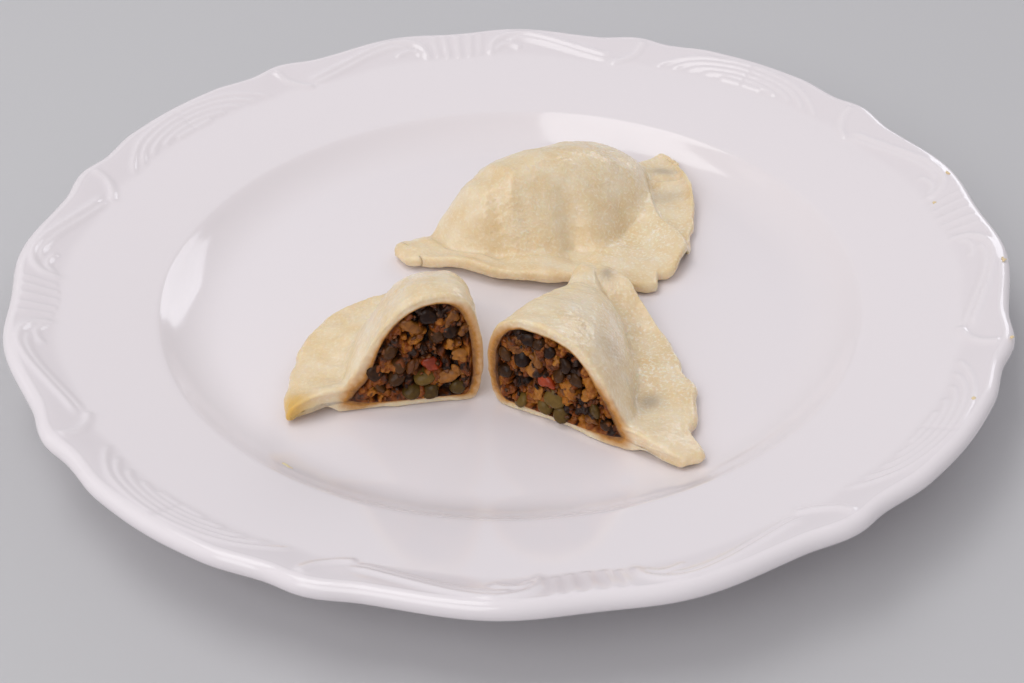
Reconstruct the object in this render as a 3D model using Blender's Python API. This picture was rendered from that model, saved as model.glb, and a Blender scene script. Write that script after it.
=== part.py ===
"""Pierogi on a dinner plate: one whole dumpling and one cut into two halves.

World frame: metres, +Z up, origin at the centre of the plate's foot on the table.
Each dumpling is a loft of closed sections. A section stands across the fold, so a
point is given by ``along`` (along the fold), ``across`` (from the fold towards the
sealed edge) and ``up`` (above the plate's floor).
"""
from dataclasses import dataclass

import bpy
import numpy as np

# ---- plate ----
RIM_RADIUS = 0.1325        # mean radius of the lip
RIM_HEIGHT = 0.025         # top of the lip
LIP_RADIUS = 0.0025        # the lip is rounded over
MOTIF_BEARING = 7.2        # degrees, where the first shell of the scalloped rim stands
SEGMENTS = 120             # facets round the plate
SHELF_RADIUS = 0.0947      # inner edge of the broad rim
SHELF_HEIGHT = 0.014
SHELF_SLOPE = 0.276        # rise of the broad rim for each metre outwards
FLOOR_RADIUS = 0.078
FLOOR_HEIGHT = 0.0065
FOOT_RADIUS = 0.074        # middle of the foot ring
FOOT_HALF_WIDTH = 0.0022
RECESS_HEIGHT = 0.002      # underside of the plate's middle
RIM_THICKNESS = 0.0048

# Radius of the lip at bearings from a shell, in degrees and millimetres: a quarter
# of the rim is this run and its mirror image.
LIP_RUN = ((0.0, 132.2), (8.5, 133.5), (21.0, 131.2), (27.0, 133.0),
           (31.5, 131.7), (38.0, 133.0), (45.0, 133.2))

# ---- dough and filling ----
GAP = 0.0003               # between pieces that touch
DOUGH_WALL = 0.0027        # dough over the filling
DOUGH_BASE = 0.0023        # dough under the filling
BLEND = 0.0014             # softness of the crease where belly and seal meet
CAP_STEPS = 3              # rounding stations at a tip
LEDGE_SLANT = 0.85         # cosine of the angle between a ledge and the sections
LEDGE_START = (0.010, 0.012)   # where its crest starts across the fold, and over what width
BEND_START = 0.6           # share of the length where a tip starts to bend sideways
RISE_RUN = (0.74, 0.19)    # share of the length where a tip starts to rise, and over what share
SAG_START = 0.72           # share of the depth where the cut end starts to sag
SAG_LENGTH = 0.020         # length of the stretch that sags
JOINT = (1.45, 0.8)        # dough beyond the filling in walls, at the cut and added behind it
CORE_REACH = 0.78          # the filling's length as a share of the belly's


@dataclass(frozen=True)
class Lift:
    """A stretch of the seal that stands off the plate (bearing in degrees)."""

    bearing: float
    spread: float
    at_foot: float
    at_edge: float
    bend: float = 1.0          # above 1 it keeps the foot's height for longer


@dataclass(frozen=True)
class Press:
    """A finger press in the upper skin: an oval hollow, turned by an angle."""

    along: float
    across: float
    length: float
    width: float
    turn: float
    depth: float


@dataclass(frozen=True)
class Lobe:
    """A bulge (or notch, if negative) of the sealed edge."""

    along: float
    spread: float
    size: float


@dataclass(frozen=True)
class Ledge:
    """A step where the belly ends in a cliff and the seal goes on lower down behind it.

    Its line gives the place along the fold for each place across it, in millimetres.
    """

    line: tuple
    steep: float               # metres over which the cliff falls
    ridge: float               # height of the seal's crest in front of the line
    width: float               # width of that crest

    def beyond(self, along, across):
        """Distance behind the line, negative in front of it."""
        places, stops = np.array(self.line).T * 0.001
        return LEDGE_SLANT * (along - np.interp(across, stops, places))


@dataclass(frozen=True)
class HalfMoon:
    """A curve over the fold that falls from 1 at its middle to 0 at each end."""

    far: float                 # from its middle to its far end
    far_powers: tuple
    near: float = 1.0          # the same for the near end, which a half lacks
    near_powers: tuple = (1.0, 1.0)
    middle: float = 0.0

    def at(self, along):
        """(1 - part ** first power) ** second power, with part 1 at the end."""
        away = along - self.middle
        part = np.clip(np.where(away < 0.0, -away / self.near, away / self.far), 0.0, 1.0)
        first = np.where(away < 0.0, self.near_powers[0], self.far_powers[0])
        second = np.where(away < 0.0, self.near_powers[1], self.far_powers[1])
        return (1.0 - part ** first) ** second


@dataclass(frozen=True)
class Dumpling:
    """A half-moon dumpling, or the half of one from its cut face to its tip."""

    name: str
    origin: tuple              # middle of the fold, or its cut end, on the plate
    bearing: float             # degrees, direction of the fold
    depth: float               # from the fold to the sealed edge
    outline: HalfMoon          # shape of the sealed edge
    belly_depth: float         # from the fold to the belly's foot
    foot: HalfMoon             # shape of the belly's foot
    height: float              # crest of the belly
    arch: HalfMoon             # shape of the belly's crest
    crest: float               # from the fold to the crest
    end_crest: float           # the same near the tips
    slope: tuple               # powers of the belly's slope down to the seal
    bulge: float = 0.001
    waist: float = 0.010       # height where the fold side is widest
    corner: float = 0.6        # rounding of the lower fold side, as a share of the waist
    side_power: float = 0.9    # 1 gives an elliptic fold side, less a squarer one
    seal: float = 0.0038       # thickness of the sealed edge
    side: int = -1             # the seal lies to the right (-1) or left (1) of the fold
    halved: bool = False
    cap: float = 0.0019        # length of the rounding at the far tip
    near_cap: float = 0.0040
    hook: float = 0.0          # how far the fold bends sideways at its far tip
    near_hook: float = 0.0
    rise: float = 0.0          # how far the far tip lies up on its neighbour
    lean: float = 0.0          # how far the seal's cut end sags forward
    pinch: tuple = (0.0, 0.001, 0.0)   # thicker dough over the filling: across, width, depth
    ledge: Ledge | None = None
    lifts: tuple = ()
    presses: tuple = ()
    lobes: tuple = ()


WHOLE = Dumpling(
    name="pierog_whole", origin=(0.0078, 0.0507), bearing=34.5,
    depth=0.0545, outline=HalfMoon(0.0460, (2.2, 0.73), 0.0492, (0.95, 0.5)),
    belly_depth=0.038, foot=HalfMoon(0.046, (2.0, 0.7), 0.040, (1.2, 0.5)),
    height=0.0246, arch=HalfMoon(0.047, (2.2, 0.75), 0.0282, (2.6, 1.1), -0.010),
    crest=0.016, end_crest=0.008, slope=(2.1, 1.3), bulge=0.003, hook=0.0045, near_hook=-0.0032,
    lifts=(Lift(28, 20, 0.0, 0.0035, 2.0), Lift(125, 22, 0.0012, 0.0028),
           Lift(153, 10, 0.001, 0.0022), Lift(176, 8, 0.001, 0.0018)),
    ledge=Ledge(((36.0, 4.0), (33.5, 9.9), (30.5, 14.5), (27.7, 19.0), (24.1, 25.2), (21.5, 29.5),
                 (19.2, 34.2), (18.6, 38.7), (18.5, 43.5), (17.0, 48.7), (15.0, 56.0)),
                0.0022, 0.0034, 0.006),
    presses=(Press(0.0115, 0.0362, 0.0042, 0.0046, 0, 0.0050),
             Press(-0.0085, 0.0325, 0.0024, 0.0050, 15, 0.0035)),
    lobes=(Lobe(-0.001, 0.010, 0.0038), Lobe(0.0035, 0.0025, -0.0035),
           Lobe(-0.039, 0.006, -0.0035), Lobe(0.024, 0.003, -0.0012)),
)
LEFT_HALF = Dumpling(
    name="half_left", origin=(-0.0076, -0.0419), bearing=97.8,
    depth=0.0497, outline=HalfMoon(0.0456, (1.9, 0.3)),
    belly_depth=0.0375, foot=HalfMoon(0.045, (2.4, 0.5)),
    height=0.0335, arch=HalfMoon(0.042, (2.15, 0.92)),
    crest=0.0105, end_crest=0.006, slope=(2.3, 1.15), bulge=0.0006,
    corner=0.35, side_power=0.75, halved=True, side=1, lean=0.0024,
    pinch=(0.0285, 0.0028, 0.0036),
    lifts=(Lift(90, 9, 0.0034, 0.0, 3.0), Lift(50, 26, 0.002, 0.0012), Lift(0, 25, 0.001, 0.002)),
    lobes=(Lobe(0.005, 0.004, 0.0008),),
)
RIGHT_HALF = Dumpling(
    name="half_right", origin=(-0.0058, -0.0423), bearing=57.5,
    depth=0.0555, outline=HalfMoon(0.0552, (1.2, 0.5)),
    belly_depth=0.042, foot=HalfMoon(0.0515, (1.5, 0.85)),
    height=0.0288, arch=HalfMoon(0.0515, (1.6, 0.8)),
    crest=0.014, end_crest=0.006, slope=(3.0, 1.2), bulge=0.0006,
    corner=0.5, side_power=0.8, halved=True, hook=-0.005, rise=0.0053,
    pinch=(0.031, 0.0025, 0.001),
    lifts=(Lift(90, 9, 0.003, 0.0), Lift(4, 14, 0.0, 0.0005)),
    presses=(Press(0.0165, 0.0375, 0.0045, 0.0042, 0, 0.0045),),
    lobes=(Lobe(0.0055, 0.0035, 0.0055), Lobe(0.0275, 0.004, 0.0032),
           Lobe(0.018, 0.006, 0.0024), Lobe(0.042, 0.006, 0.0012)),
)
DUMPLINGS = (WHOLE, LEFT_HALF, RIGHT_HALF)


# ---- shared shape functions ----
def smooth_max(first, second, softness):
    """The larger of two heights, with a soft crease where they cross."""
    high = np.maximum(first, second)
    return high + softness * np.log(np.exp((first - high) / softness)
                                    + np.exp((second - high) / softness))


def smooth_step(value):
    """0 below 0, 1 above 1, and an S curve between."""
    part = np.clip(value, 0.0, 1.0)
    return part * part * (3.0 - 2.0 * part)


def lip_radius(bearing):
    """Radius of the scalloped lip at a bearing in radians."""
    turned = np.degrees(bearing) - MOTIF_BEARING
    folded = np.abs((turned + 45.0) % 90.0 - 45.0)
    stops = np.array([stop for stop, _ in LIP_RUN])
    radii = np.array([radius for _, radius in LIP_RUN]) * 0.001
    place = np.clip(np.searchsorted(stops, folded, side="right") - 1, 0, len(stops) - 2)
    part = (folded - stops[place]) / (stops[place + 1] - stops[place])
    blend = 0.5 - 0.5 * np.cos(np.pi * np.clip(part, 0.0, 1.0))
    return radii[place] * (1.0 - blend) + radii[place + 1] * blend


# ---- plate ----
def well_height(radius):
    """Top of the plate from its middle to the shelf: flat, then rise * part ** 2.2."""
    part = np.clip((radius - FLOOR_RADIUS) / (SHELF_RADIUS - FLOOR_RADIUS), 0.0, 1.0)
    return FLOOR_HEIGHT + (SHELF_HEIGHT - FLOOR_HEIGHT) * part ** 2.2


def plate_rings():
    """Profile from the floor's edge over the lip to the recess, as (radius, height)."""
    rings = []
    for part in (0.0, 0.24, 0.48, 0.72, 0.9, 1.0):
        radius = FLOOR_RADIUS + (SHELF_RADIUS - FLOOR_RADIUS) * part
        rings.append((radius, well_height(radius)))
    for radius in (0.098, 0.110, 0.120):
        rings.append((radius, SHELF_HEIGHT + SHELF_SLOPE * (radius - SHELF_RADIUS)))
    lip_centre = (RIM_RADIUS - LIP_RADIUS, RIM_HEIGHT - LIP_RADIUS)
    for turn in np.radians((105.0, 60.0, 15.0, -30.0, -75.0)):
        rings.append((lip_centre[0] + LIP_RADIUS * np.cos(turn),
                      lip_centre[1] + LIP_RADIUS * np.sin(turn)))
    rings.append((SHELF_RADIUS + 0.002, SHELF_HEIGHT - RIM_THICKNESS))
    rings.append((SHELF_RADIUS - 0.009, SHELF_HEIGHT - 0.0085))
    rings.append((FOOT_RADIUS + FOOT_HALF_WIDTH + 0.0012, 0.0016))
    rings.append((FOOT_RADIUS + FOOT_HALF_WIDTH, 0.0))
    rings.append((FOOT_RADIUS - FOOT_HALF_WIDTH, 0.0))
    rings.append((FOOT_RADIUS - FOOT_HALF_WIDTH - 0.0012, RECESS_HEIGHT))
    return rings


def build_plate():
    """A turned profile whose outer part follows the scalloped lip."""
    bearings = np.radians(MOTIF_BEARING) + np.arange(SEGMENTS) * 2.0 * np.pi / SEGMENTS
    scallop = lip_radius(bearings) - RIM_RADIUS
    rows = []
    for radius, height in plate_rings():
        share = smooth_step((radius - 0.108) / (RIM_RADIUS - 0.111))
        ring = radius + scallop * share
        lift = height + SHELF_SLOPE * scallop * share
        rows.append(np.stack([ring * np.cos(bearings), ring * np.sin(bearings), lift], axis=1))
    grid = np.array(rows)
    faces = [tuple(range(SEGMENTS))]
    for row in range(len(rows) - 1):
        start, after = row * SEGMENTS, (row + 1) * SEGMENTS
        for step in range(SEGMENTS):
            following = (step + 1) % SEGMENTS
            faces.append((start + step, after + step, after + following, start + following))
    last = (len(rows) - 1) * SEGMENTS
    faces.append(tuple(last + step for step in reversed(range(SEGMENTS))))
    return grid.reshape(-1, 3), faces


# ---- dumplings ----
def sealed_edge(dumpling, along):
    """Distance of the sealed edge from the fold."""
    edge = dumpling.depth * dumpling.outline.at(along)
    for lobe in dumpling.lobes:
        edge = edge + lobe.size * np.exp(-((along - lobe.along) / lobe.spread) ** 2)
    return np.maximum(edge, dumpling.seal * 0.6)


def belly_foot(dumpling, along):
    """Distance from the fold to the line where the belly meets the seal."""
    return dumpling.belly_depth * dumpling.foot.at(along)


def seal_middle(dumpling, along, across):
    """Height of the middle of the seal, which lies on the plate or is lifted off it."""
    foot = belly_foot(dumpling, along)
    edge = sealed_edge(dumpling, along)
    outward = np.clip((across - foot) / np.maximum(edge - foot, 1e-5), 0.0, 1.0)
    bearing = np.degrees(np.arctan2(across, along))
    height = dumpling.seal / 2.0 + 0.0 * across
    for lift in dumpling.lifts:
        near = np.exp(-((bearing - lift.bearing) / lift.spread) ** 2)
        rise = lift.at_foot + (lift.at_edge - lift.at_foot) * outward ** lift.bend
        height = height + near * rise
    if dumpling.ledge is not None:
        ledge = dumpling.ledge
        beyond = ledge.beyond(along, across)
        start, width = LEDGE_START
        crest = ledge.ridge * smooth_step((across - start) / width)
        front = 1.0 - smooth_step(beyond / ledge.steep)
        height = height + crest * front * np.exp(-(beyond / ledge.width) ** 2)
    return height


def press_depth(dumpling, along, across):
    """How far the finger presses push the upper skin down."""
    depth = 0.0 * along
    for press in dumpling.presses:
        turn = np.radians(press.turn)
        shift_along, shift_across = along - press.along, across - press.across
        first = (shift_along * np.cos(turn) + shift_across * np.sin(turn)) / press.length
        second = (shift_across * np.cos(turn) - shift_along * np.sin(turn)) / press.width
        depth = depth + press.depth * np.exp(-first ** 2 - second ** 2)
    return depth


def upper_skin(dumpling, along, across, crest, foot, thick):
    """Height of the top: the larger of the belly's slope and the seal, less the presses.

    The belly's slope is height * (1 - x ** n) ** m, with x from 0 at the crest to 1
    at the foot. thick is half the seal's thickness at each point.
    """
    bend, fall = dumpling.slope
    part = np.clip((across - crest) / (foot - crest), 0.0, 1.0)
    along = along + 0.0 * across
    middle = seal_middle(dumpling, along, across)
    belly = dumpling.height * dumpling.arch.at(along) * (1.0 - part ** bend) ** fall
    if dumpling.ledge is not None:
        beyond = dumpling.ledge.beyond(along, across)
        belly = belly * (1.0 - smooth_step(beyond / dumpling.ledge.steep))
    flat = middle + thick
    skin = smooth_max(belly, flat, BLEND) - BLEND * np.exp(-np.abs(flat) / BLEND)
    pressed = skin - press_depth(dumpling, along, across)
    return smooth_max(pressed, middle + 0.4 * thick, 0.0006), flat


def outer_sections(dumpling, along, counts):
    """Closed sections of the skin at stations along the fold.

    From the sealed edge's nose over the top to the crest, round the fold side and
    back under the dumpling. Returns (stations, points, 2).
    """
    nose_count, top_count, side_count, base_count = counts
    along = along[:, None]
    nose = dumpling.seal / 2.0
    edge = sealed_edge(dumpling, along)
    share = dumpling.arch.at(along)
    fold = np.minimum(-dumpling.bulge * share, edge - dumpling.seal)
    crest = dumpling.end_crest + (dumpling.crest - dumpling.end_crest) * share
    crest = np.minimum(fold + crest, 0.5 * (fold + edge))
    foot = np.maximum(belly_foot(dumpling, along), crest + 0.002)

    turn = np.linspace(0.0, np.pi / 2.0, nose_count + 1)[None, :]
    run = np.linspace(0.0, 1.0, top_count + 1)[None, 1:]
    across = np.concatenate([edge - nose + nose * np.cos(turn),
                             edge - nose + (crest - edge + nose) * run], axis=1)
    thick = np.concatenate([nose * np.sin(turn), np.full_like(run, nose)], axis=1)
    skin, flat = upper_skin(dumpling, along, across, crest, foot, thick)
    inside = smooth_step((edge - across) / dumpling.seal)
    top = np.stack([across, flat + (skin - flat) * inside], axis=2)

    peak = top[:, -1:, 1]
    waist = np.minimum(dumpling.waist, 0.5 * peak)
    turn = np.linspace(0.0, np.pi / 2.0, side_count + 1)[None, 1:]
    power = dumpling.side_power
    upper = np.stack([crest - (crest - fold) * np.sin(turn) ** power,
                      waist + (peak - waist) * np.cos(turn) ** power], axis=2)
    corner = np.minimum(dumpling.corner * waist, 0.3 * (edge - fold))
    lower = np.stack([fold + corner * (1.0 - np.cos(turn)), waist * (1.0 - np.sin(turn))], axis=2)

    run = np.linspace(0.0, 1.0, base_count + 1)[None, 1:]
    under = fold + corner + (edge - nose - fold - corner) * run
    middle = seal_middle(dumpling, along + 0.0 * under, under)
    rise = smooth_step((under - foot + 0.002) / np.clip(0.7 * (edge - nose - foot), 0.001, 0.006))
    base = np.stack([under, np.maximum(middle - nose, 0.0) * rise], axis=2)
    turn = np.linspace(-np.pi / 2.0, 0.0, nose_count + 1)[None, 1:-1]
    under = edge - nose + nose * np.cos(turn)
    middle = seal_middle(dumpling, along + 0.0 * under, under)
    rim = np.stack([under, middle + nose * np.sin(turn)], axis=2)
    return np.concatenate([top, upper, lower, base, rim], axis=1)


def inner_sections(dumpling, along, inset, counts):
    """Closed sections of the hollow that holds the filling, or of the filling.

    They follow the belly one dough wall further in, and run out to a point where
    the two sheets of dough meet.
    """
    top_count, side_count, base_count = counts
    along = along[:, None]
    wall, floor = DOUGH_WALL + inset, DOUGH_BASE + inset
    share = dumpling.arch.at(along)
    height = dumpling.height * share - wall
    fold = wall - dumpling.bulge * share
    crest = dumpling.end_crest + (dumpling.crest - dumpling.end_crest) * share
    crest = crest - dumpling.bulge * share
    joint = DOUGH_WALL * (JOINT[0] + JOINT[1] * smooth_step(along / 0.010)) + 3.5 * inset
    tip = belly_foot(dumpling, along) - joint
    tip_height = DOUGH_BASE + 0.0015 + 0.5 * inset
    bend, fall = dumpling.slope

    run = np.linspace(0.0, 1.0, top_count + 1)[None, :]
    across = tip + (crest - tip) * run
    slope = (1.0 - (1.0 - run) ** bend) ** fall
    foot = belly_foot(dumpling, along)
    skin, _ = upper_skin(dumpling, along, across, crest, foot, dumpling.seal / 2.0)
    pinch, pinch_width, pinch_depth = dumpling.pinch
    thicker = pinch_depth * np.exp(-((across - pinch) / pinch_width) ** 2)
    roof = tip_height + (height - tip_height) * slope - thicker
    top = np.stack([across, np.clip(roof, tip_height, np.maximum(skin - wall, tip_height))],
                   axis=2)
    height = top[:, -1:, 1]
    waist = np.minimum(dumpling.waist, 0.5 * height)
    turn = np.linspace(0.0, np.pi / 2.0, side_count + 1)[None, 1:]
    power = dumpling.side_power
    upper = np.stack([crest - (crest - fold) * np.sin(turn) ** power,
                      waist + (height - waist) * np.cos(turn) ** power], axis=2)
    corner = dumpling.corner * (waist - floor)
    lower = np.stack([fold + corner * (1.0 - np.cos(turn)),
                      floor + (waist - floor) * (1.0 - np.sin(turn))], axis=2)
    run = np.linspace(0.0, 1.0, base_count + 1)[None, 1:-1]
    base = np.stack([fold + corner + (tip - fold - corner) * run,
                     floor + (tip_height - floor) * run ** 6 + 0.0 * along], axis=2)
    return np.concatenate([top, upper, lower, base], axis=1)


def rounded_end(sections, along, length, sign):
    """Add stations that shrink the last section to its middle, like a rounded tip."""
    end = sections[-1] if sign > 0 else sections[0]
    start = along[-1] if sign > 0 else along[0]
    middle = 0.5 * (end.min(axis=0) + end.max(axis=0))
    extra, places = [], []
    for step in range(1, CAP_STEPS + 1):
        turn = 0.5 * np.pi * step / CAP_STEPS
        extra.append(middle + (end - middle) * max(np.cos(turn), 1e-3))
        places.append(start + sign * length * np.sin(turn))
    if sign > 0:
        return np.concatenate([sections, extra]), np.concatenate([along, places])
    return np.concatenate([extra[::-1], sections]), np.concatenate([places[::-1], along])


def skin_grid(dumpling, stations, counts):
    """The skin as (stations, points, 3): along, across and up."""
    turn = np.linspace(0.0 if dumpling.halved else -1.0, 1.0, stations) * np.pi / 2.0
    near = dumpling.outline.near - dumpling.near_cap
    along = np.where(turn < 0.0, near, dumpling.outline.far - dumpling.cap) * np.sin(turn)
    sections = outer_sections(dumpling, along, counts)
    sections, along = rounded_end(sections, along, dumpling.cap, 1)
    if not dumpling.halved:
        sections, along = rounded_end(sections, along, dumpling.near_cap, -1)
    return with_stations(sections, along)


def core_grid(dumpling, stations, inset, counts):
    """The hollow or the filling as (stations, points, 3), from the cut face inwards."""
    reach = CORE_REACH * dumpling.arch.far
    turn = np.linspace(0.0, 1.0, stations) * np.pi / 2.0
    along = reach * np.sin(turn)
    sections = inner_sections(dumpling, along, inset, counts)
    hollow = inner_sections(dumpling, along, 0.0, counts)
    middle = 0.5 * (hollow.min(axis=1, keepdims=True) + hollow.max(axis=1, keepdims=True))
    shrink = np.maximum(np.cos(turn) ** 0.8, 1e-3)[:, None, None]
    return with_stations(middle + (sections - middle) * shrink, along * (1.0 - inset / reach))


def with_stations(sections, along):
    """Put the station in front of each section point."""
    first = np.repeat(along[:, None, None], sections.shape[1], axis=1)
    return np.concatenate([first, sections], axis=2)


def place(dumpling, grid):
    """Turn along, across and up into world coordinates, standing on the plate's well."""
    turn = np.radians(dumpling.bearing)
    forward = np.array([np.cos(turn), np.sin(turn)])
    sideways = dumpling.side * np.array([-np.sin(turn), np.cos(turn)])
    along, across = grid[..., :1], grid[..., 1:2]
    width = 1.0 - BEND_START
    bent = (across + dumpling.hook * smooth_step((along / dumpling.outline.far - BEND_START) / width)
            + dumpling.near_hook
            * smooth_step((-along / dumpling.outline.near - BEND_START) / width))
    outer = smooth_step((across / dumpling.depth - SAG_START) / (1.0 - SAG_START))
    sagged = along - dumpling.lean * outer * (1.0 - smooth_step(along / SAG_LENGTH))
    flat = np.array(dumpling.origin) + sagged * forward + bent * sideways
    ground = well_height(np.linalg.norm(flat, axis=-1, keepdims=True)) + GAP
    raised = dumpling.rise * smooth_step((along / dumpling.outline.far - RISE_RUN[0]) / RISE_RUN[1])
    return np.concatenate([flat, grid[..., 2:] + raised + ground], axis=-1)


def tube_faces(rows, columns, start=0):
    """Quads round a grid of closed rows."""
    faces = []
    for row in range(rows - 1):
        for column in range(columns):
            following = (column + 1) % columns
            low, high = start + row * columns, start + (row + 1) * columns
            faces.append((low + column, low + following, high + following, high + column))
    return faces


def closed_loft(grid):
    """A closed solid from a grid of sections, with a flat face at each end."""
    rows, columns = grid.shape[:2]
    faces = tube_faces(rows, columns)
    faces.append(tuple(reversed(range(columns))))
    last = (rows - 1) * columns
    faces.append(tuple(last + column for column in range(columns)))
    return grid.reshape(-1, 3), faces


def shell_loft(outer, inner):
    """A cut half's dough: the skin, the hollow, and the cut ring between them.

    The two rings have different numbers of points, so the cut face is one polygon
    from the outer ring to the inner one and back along the same bridge.
    """
    rows, columns = outer.shape[:2]
    inner_rows, inner_columns = inner.shape[:2]
    first = rows * columns
    faces = tube_faces(rows, columns)
    last = first - columns
    faces.append(tuple(last + column for column in range(columns)))
    for quad in tube_faces(inner_rows, inner_columns, first):
        faces.append(tuple(reversed(quad)))
    last = first + (inner_rows - 1) * inner_columns
    faces.append(tuple(last + column for column in reversed(range(inner_columns))))
    faces.extend(ring_faces(outer[0], inner[0], first))
    return np.concatenate([outer.reshape(-1, 3), inner.reshape(-1, 3)]), faces


def ring_faces(outer_ring, inner_ring, start):
    """Triangles between two closed rings, each step taking the shorter bridge."""
    columns, inner_columns = len(outer_ring), len(inner_ring)
    shift = int(np.argmin(np.linalg.norm(inner_ring - outer_ring[0], axis=1)))
    outside, inside = 0, 0
    faces = []
    while outside < columns or inside < inner_columns:
        near_out = outer_ring[outside % columns]
        near_in = inner_ring[(inside + shift) % inner_columns]
        next_out = outer_ring[(outside + 1) % columns]
        next_in = inner_ring[(inside + 1 + shift) % inner_columns]
        outer_step = np.linalg.norm(next_out - near_in)
        inner_step = np.linalg.norm(next_in - near_out)
        here_out = outside % columns
        here_in = start + (inside + shift) % inner_columns
        if inside == inner_columns or (outside < columns and outer_step <= inner_step):
            faces.append((here_out, here_in, (outside + 1) % columns))
            outside += 1
        else:
            faces.append((here_out, here_in, start + (inside + 1 + shift) % inner_columns))
            inside += 1
    return faces


# ---- objects ----
def make_material(name, colour, roughness):
    """A plain surface of one colour."""
    material = bpy.data.materials.new(name)
    material.use_nodes = True
    shader = material.node_tree.nodes["Principled BSDF"]
    shader.inputs["Base Color"].default_value = (*colour, 1.0)
    shader.inputs["Roughness"].default_value = roughness
    return material


def add_object(name, vertices, faces, material, side=1):
    """One named solid; side -1 turns its faces over, as its frame is left-handed."""
    mesh = bpy.data.meshes.new(name)
    mesh.from_pydata(vertices.tolist(), [], [face[::side] for face in faces])
    mesh.update()
    mesh.shade_smooth()
    mesh.set_sharp_from_angle(angle=np.radians(40.0))
    mesh.materials.append(material)
    piece = bpy.data.objects.new(name, mesh)
    bpy.context.scene.collection.objects.link(piece)
    return piece


def main():
    """Build the plate, the whole dumpling and the two halves."""
    for old in list(bpy.data.objects):
        bpy.data.objects.remove(old)
    porcelain = make_material("glazed_porcelain", (0.80, 0.78, 0.81), 0.12)
    dough = make_material("boiled_dough", (0.80, 0.66, 0.43), 0.40)
    lentils = make_material("lentil_filling", (0.10, 0.045, 0.02), 0.45)

    add_object("plate", *build_plate(), porcelain)
    for dumpling in DUMPLINGS:
        if not dumpling.halved:
            skin = place(dumpling, skin_grid(dumpling, 33, (2, 11, 5, 3)))
            add_object(dumpling.name, *closed_loft(skin), dough, dumpling.side)
            continue
        skin = place(dumpling, skin_grid(dumpling, 15, (2, 9, 5, 3)))
        hollow = place(dumpling, core_grid(dumpling, 8, 0.0, (8, 4, 4)))
        filling = place(dumpling, core_grid(dumpling, 8, GAP, (8, 4, 4)))
        add_object(dumpling.name + "_dough", *shell_loft(skin, hollow), dough, dumpling.side)
        add_object(dumpling.name + "_filling", *closed_loft(filling), lentils, dumpling.side)


main()
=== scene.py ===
"""Looks of a plate of pierogi: one whole dumpling, and one cut into two halves.

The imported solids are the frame: metres, +Z up, origin under the middle of the plate.
A point on a dumpling is given by ``along`` (along its fold), ``across`` (from the fold
towards the sealed edge) and ``up`` (above the plate). A cut half runs from its cut
face at along = 0 to its tip.
"""
import logging
from dataclasses import dataclass
from enum import Enum
from typing import Any

import bpy
import numpy as np
from mathutils import Matrix, Vector
from numpy.typing import NDArray


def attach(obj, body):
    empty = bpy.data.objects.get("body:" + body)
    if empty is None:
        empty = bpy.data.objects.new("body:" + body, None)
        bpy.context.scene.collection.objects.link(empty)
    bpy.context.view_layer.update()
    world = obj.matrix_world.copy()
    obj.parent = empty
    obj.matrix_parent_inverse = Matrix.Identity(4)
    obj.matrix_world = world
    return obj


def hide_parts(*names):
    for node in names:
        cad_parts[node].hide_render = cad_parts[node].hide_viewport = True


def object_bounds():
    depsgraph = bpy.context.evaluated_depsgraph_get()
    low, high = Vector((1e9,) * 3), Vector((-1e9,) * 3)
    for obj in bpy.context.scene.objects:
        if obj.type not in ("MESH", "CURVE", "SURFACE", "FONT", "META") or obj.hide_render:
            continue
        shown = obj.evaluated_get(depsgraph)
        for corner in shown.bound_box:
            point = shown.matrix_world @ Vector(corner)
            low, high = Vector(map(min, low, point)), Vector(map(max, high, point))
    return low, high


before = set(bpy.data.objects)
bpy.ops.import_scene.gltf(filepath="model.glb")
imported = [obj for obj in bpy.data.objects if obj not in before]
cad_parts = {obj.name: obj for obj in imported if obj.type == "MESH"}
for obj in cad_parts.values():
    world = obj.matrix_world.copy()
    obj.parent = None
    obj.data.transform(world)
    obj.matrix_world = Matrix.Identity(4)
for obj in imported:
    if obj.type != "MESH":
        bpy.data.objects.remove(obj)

CAD_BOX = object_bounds()
LOG = logging.getLogger("pierogi")
Array = NDArray[np.float64]
Colour = tuple[float, float, float, float]
Item = bpy.types.Object
Material = bpy.types.Material
Socket = bpy.types.NodeSocket

MM = 0.001
BODY = "root"
MIX_FACTOR, MIX_A, MIX_B = 0, 6, 7          # a Mix node's inputs for colours
# the output that is read of each kind of node, where it isn't the first
MAIN_OUTPUT: dict[str, Any] = {"ShaderNodeMix": 2, "ShaderNodeAttribute": "Fac",
                               "ShaderNodeTexCoord": "Object"}


# ---------------------------------------------------------------- shared helpers
def linear(code: str) -> Colour:
    """Turn an sRGB hex colour into linear light.

    Args:
        code: Colour such as "#EAD9B4".

    Returns:
        Red, green, blue and an opacity of 1.
    """
    parts = [int(code[start:start + 2], 16) / 255.0 for start in (1, 3, 5)]
    bent = [part / 12.92 if part <= 0.04045 else ((part + 0.055) / 1.055) ** 2.4 for part in parts]
    return bent[0], bent[1], bent[2], 1.0


def per_mm(size: float) -> float:
    """Scale of a texture on coordinates in metres whose features are size mm wide."""
    return 1.0 / (size * MM)


def smooth_step(value: Array) -> Array:
    """0 below 0, 1 above 1, and 3t^2 - 2t^3 between."""
    part = np.clip(value, 0.0, 1.0)
    return part * part * (3.0 - 2.0 * part)


def late_step(share: Array, start: float) -> Array:
    """A smooth step that is 0 up to the start and reaches 1 where the share is 1."""
    return smooth_step((share - start) / (1.0 - start))


def smooth_max(first: Array, second: Array, softness: float) -> Array:
    """The larger of two heights, with a crease of the given softness where they cross.

    Args:
        first: One height.
        second: The other height.
        softness: Metres over which they blend.

    Returns:
        The blended height.
    """
    high = np.maximum(first, second)
    return high + softness * np.log(np.exp((first - high) / softness)
                                    + np.exp((second - high) / softness))


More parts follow.
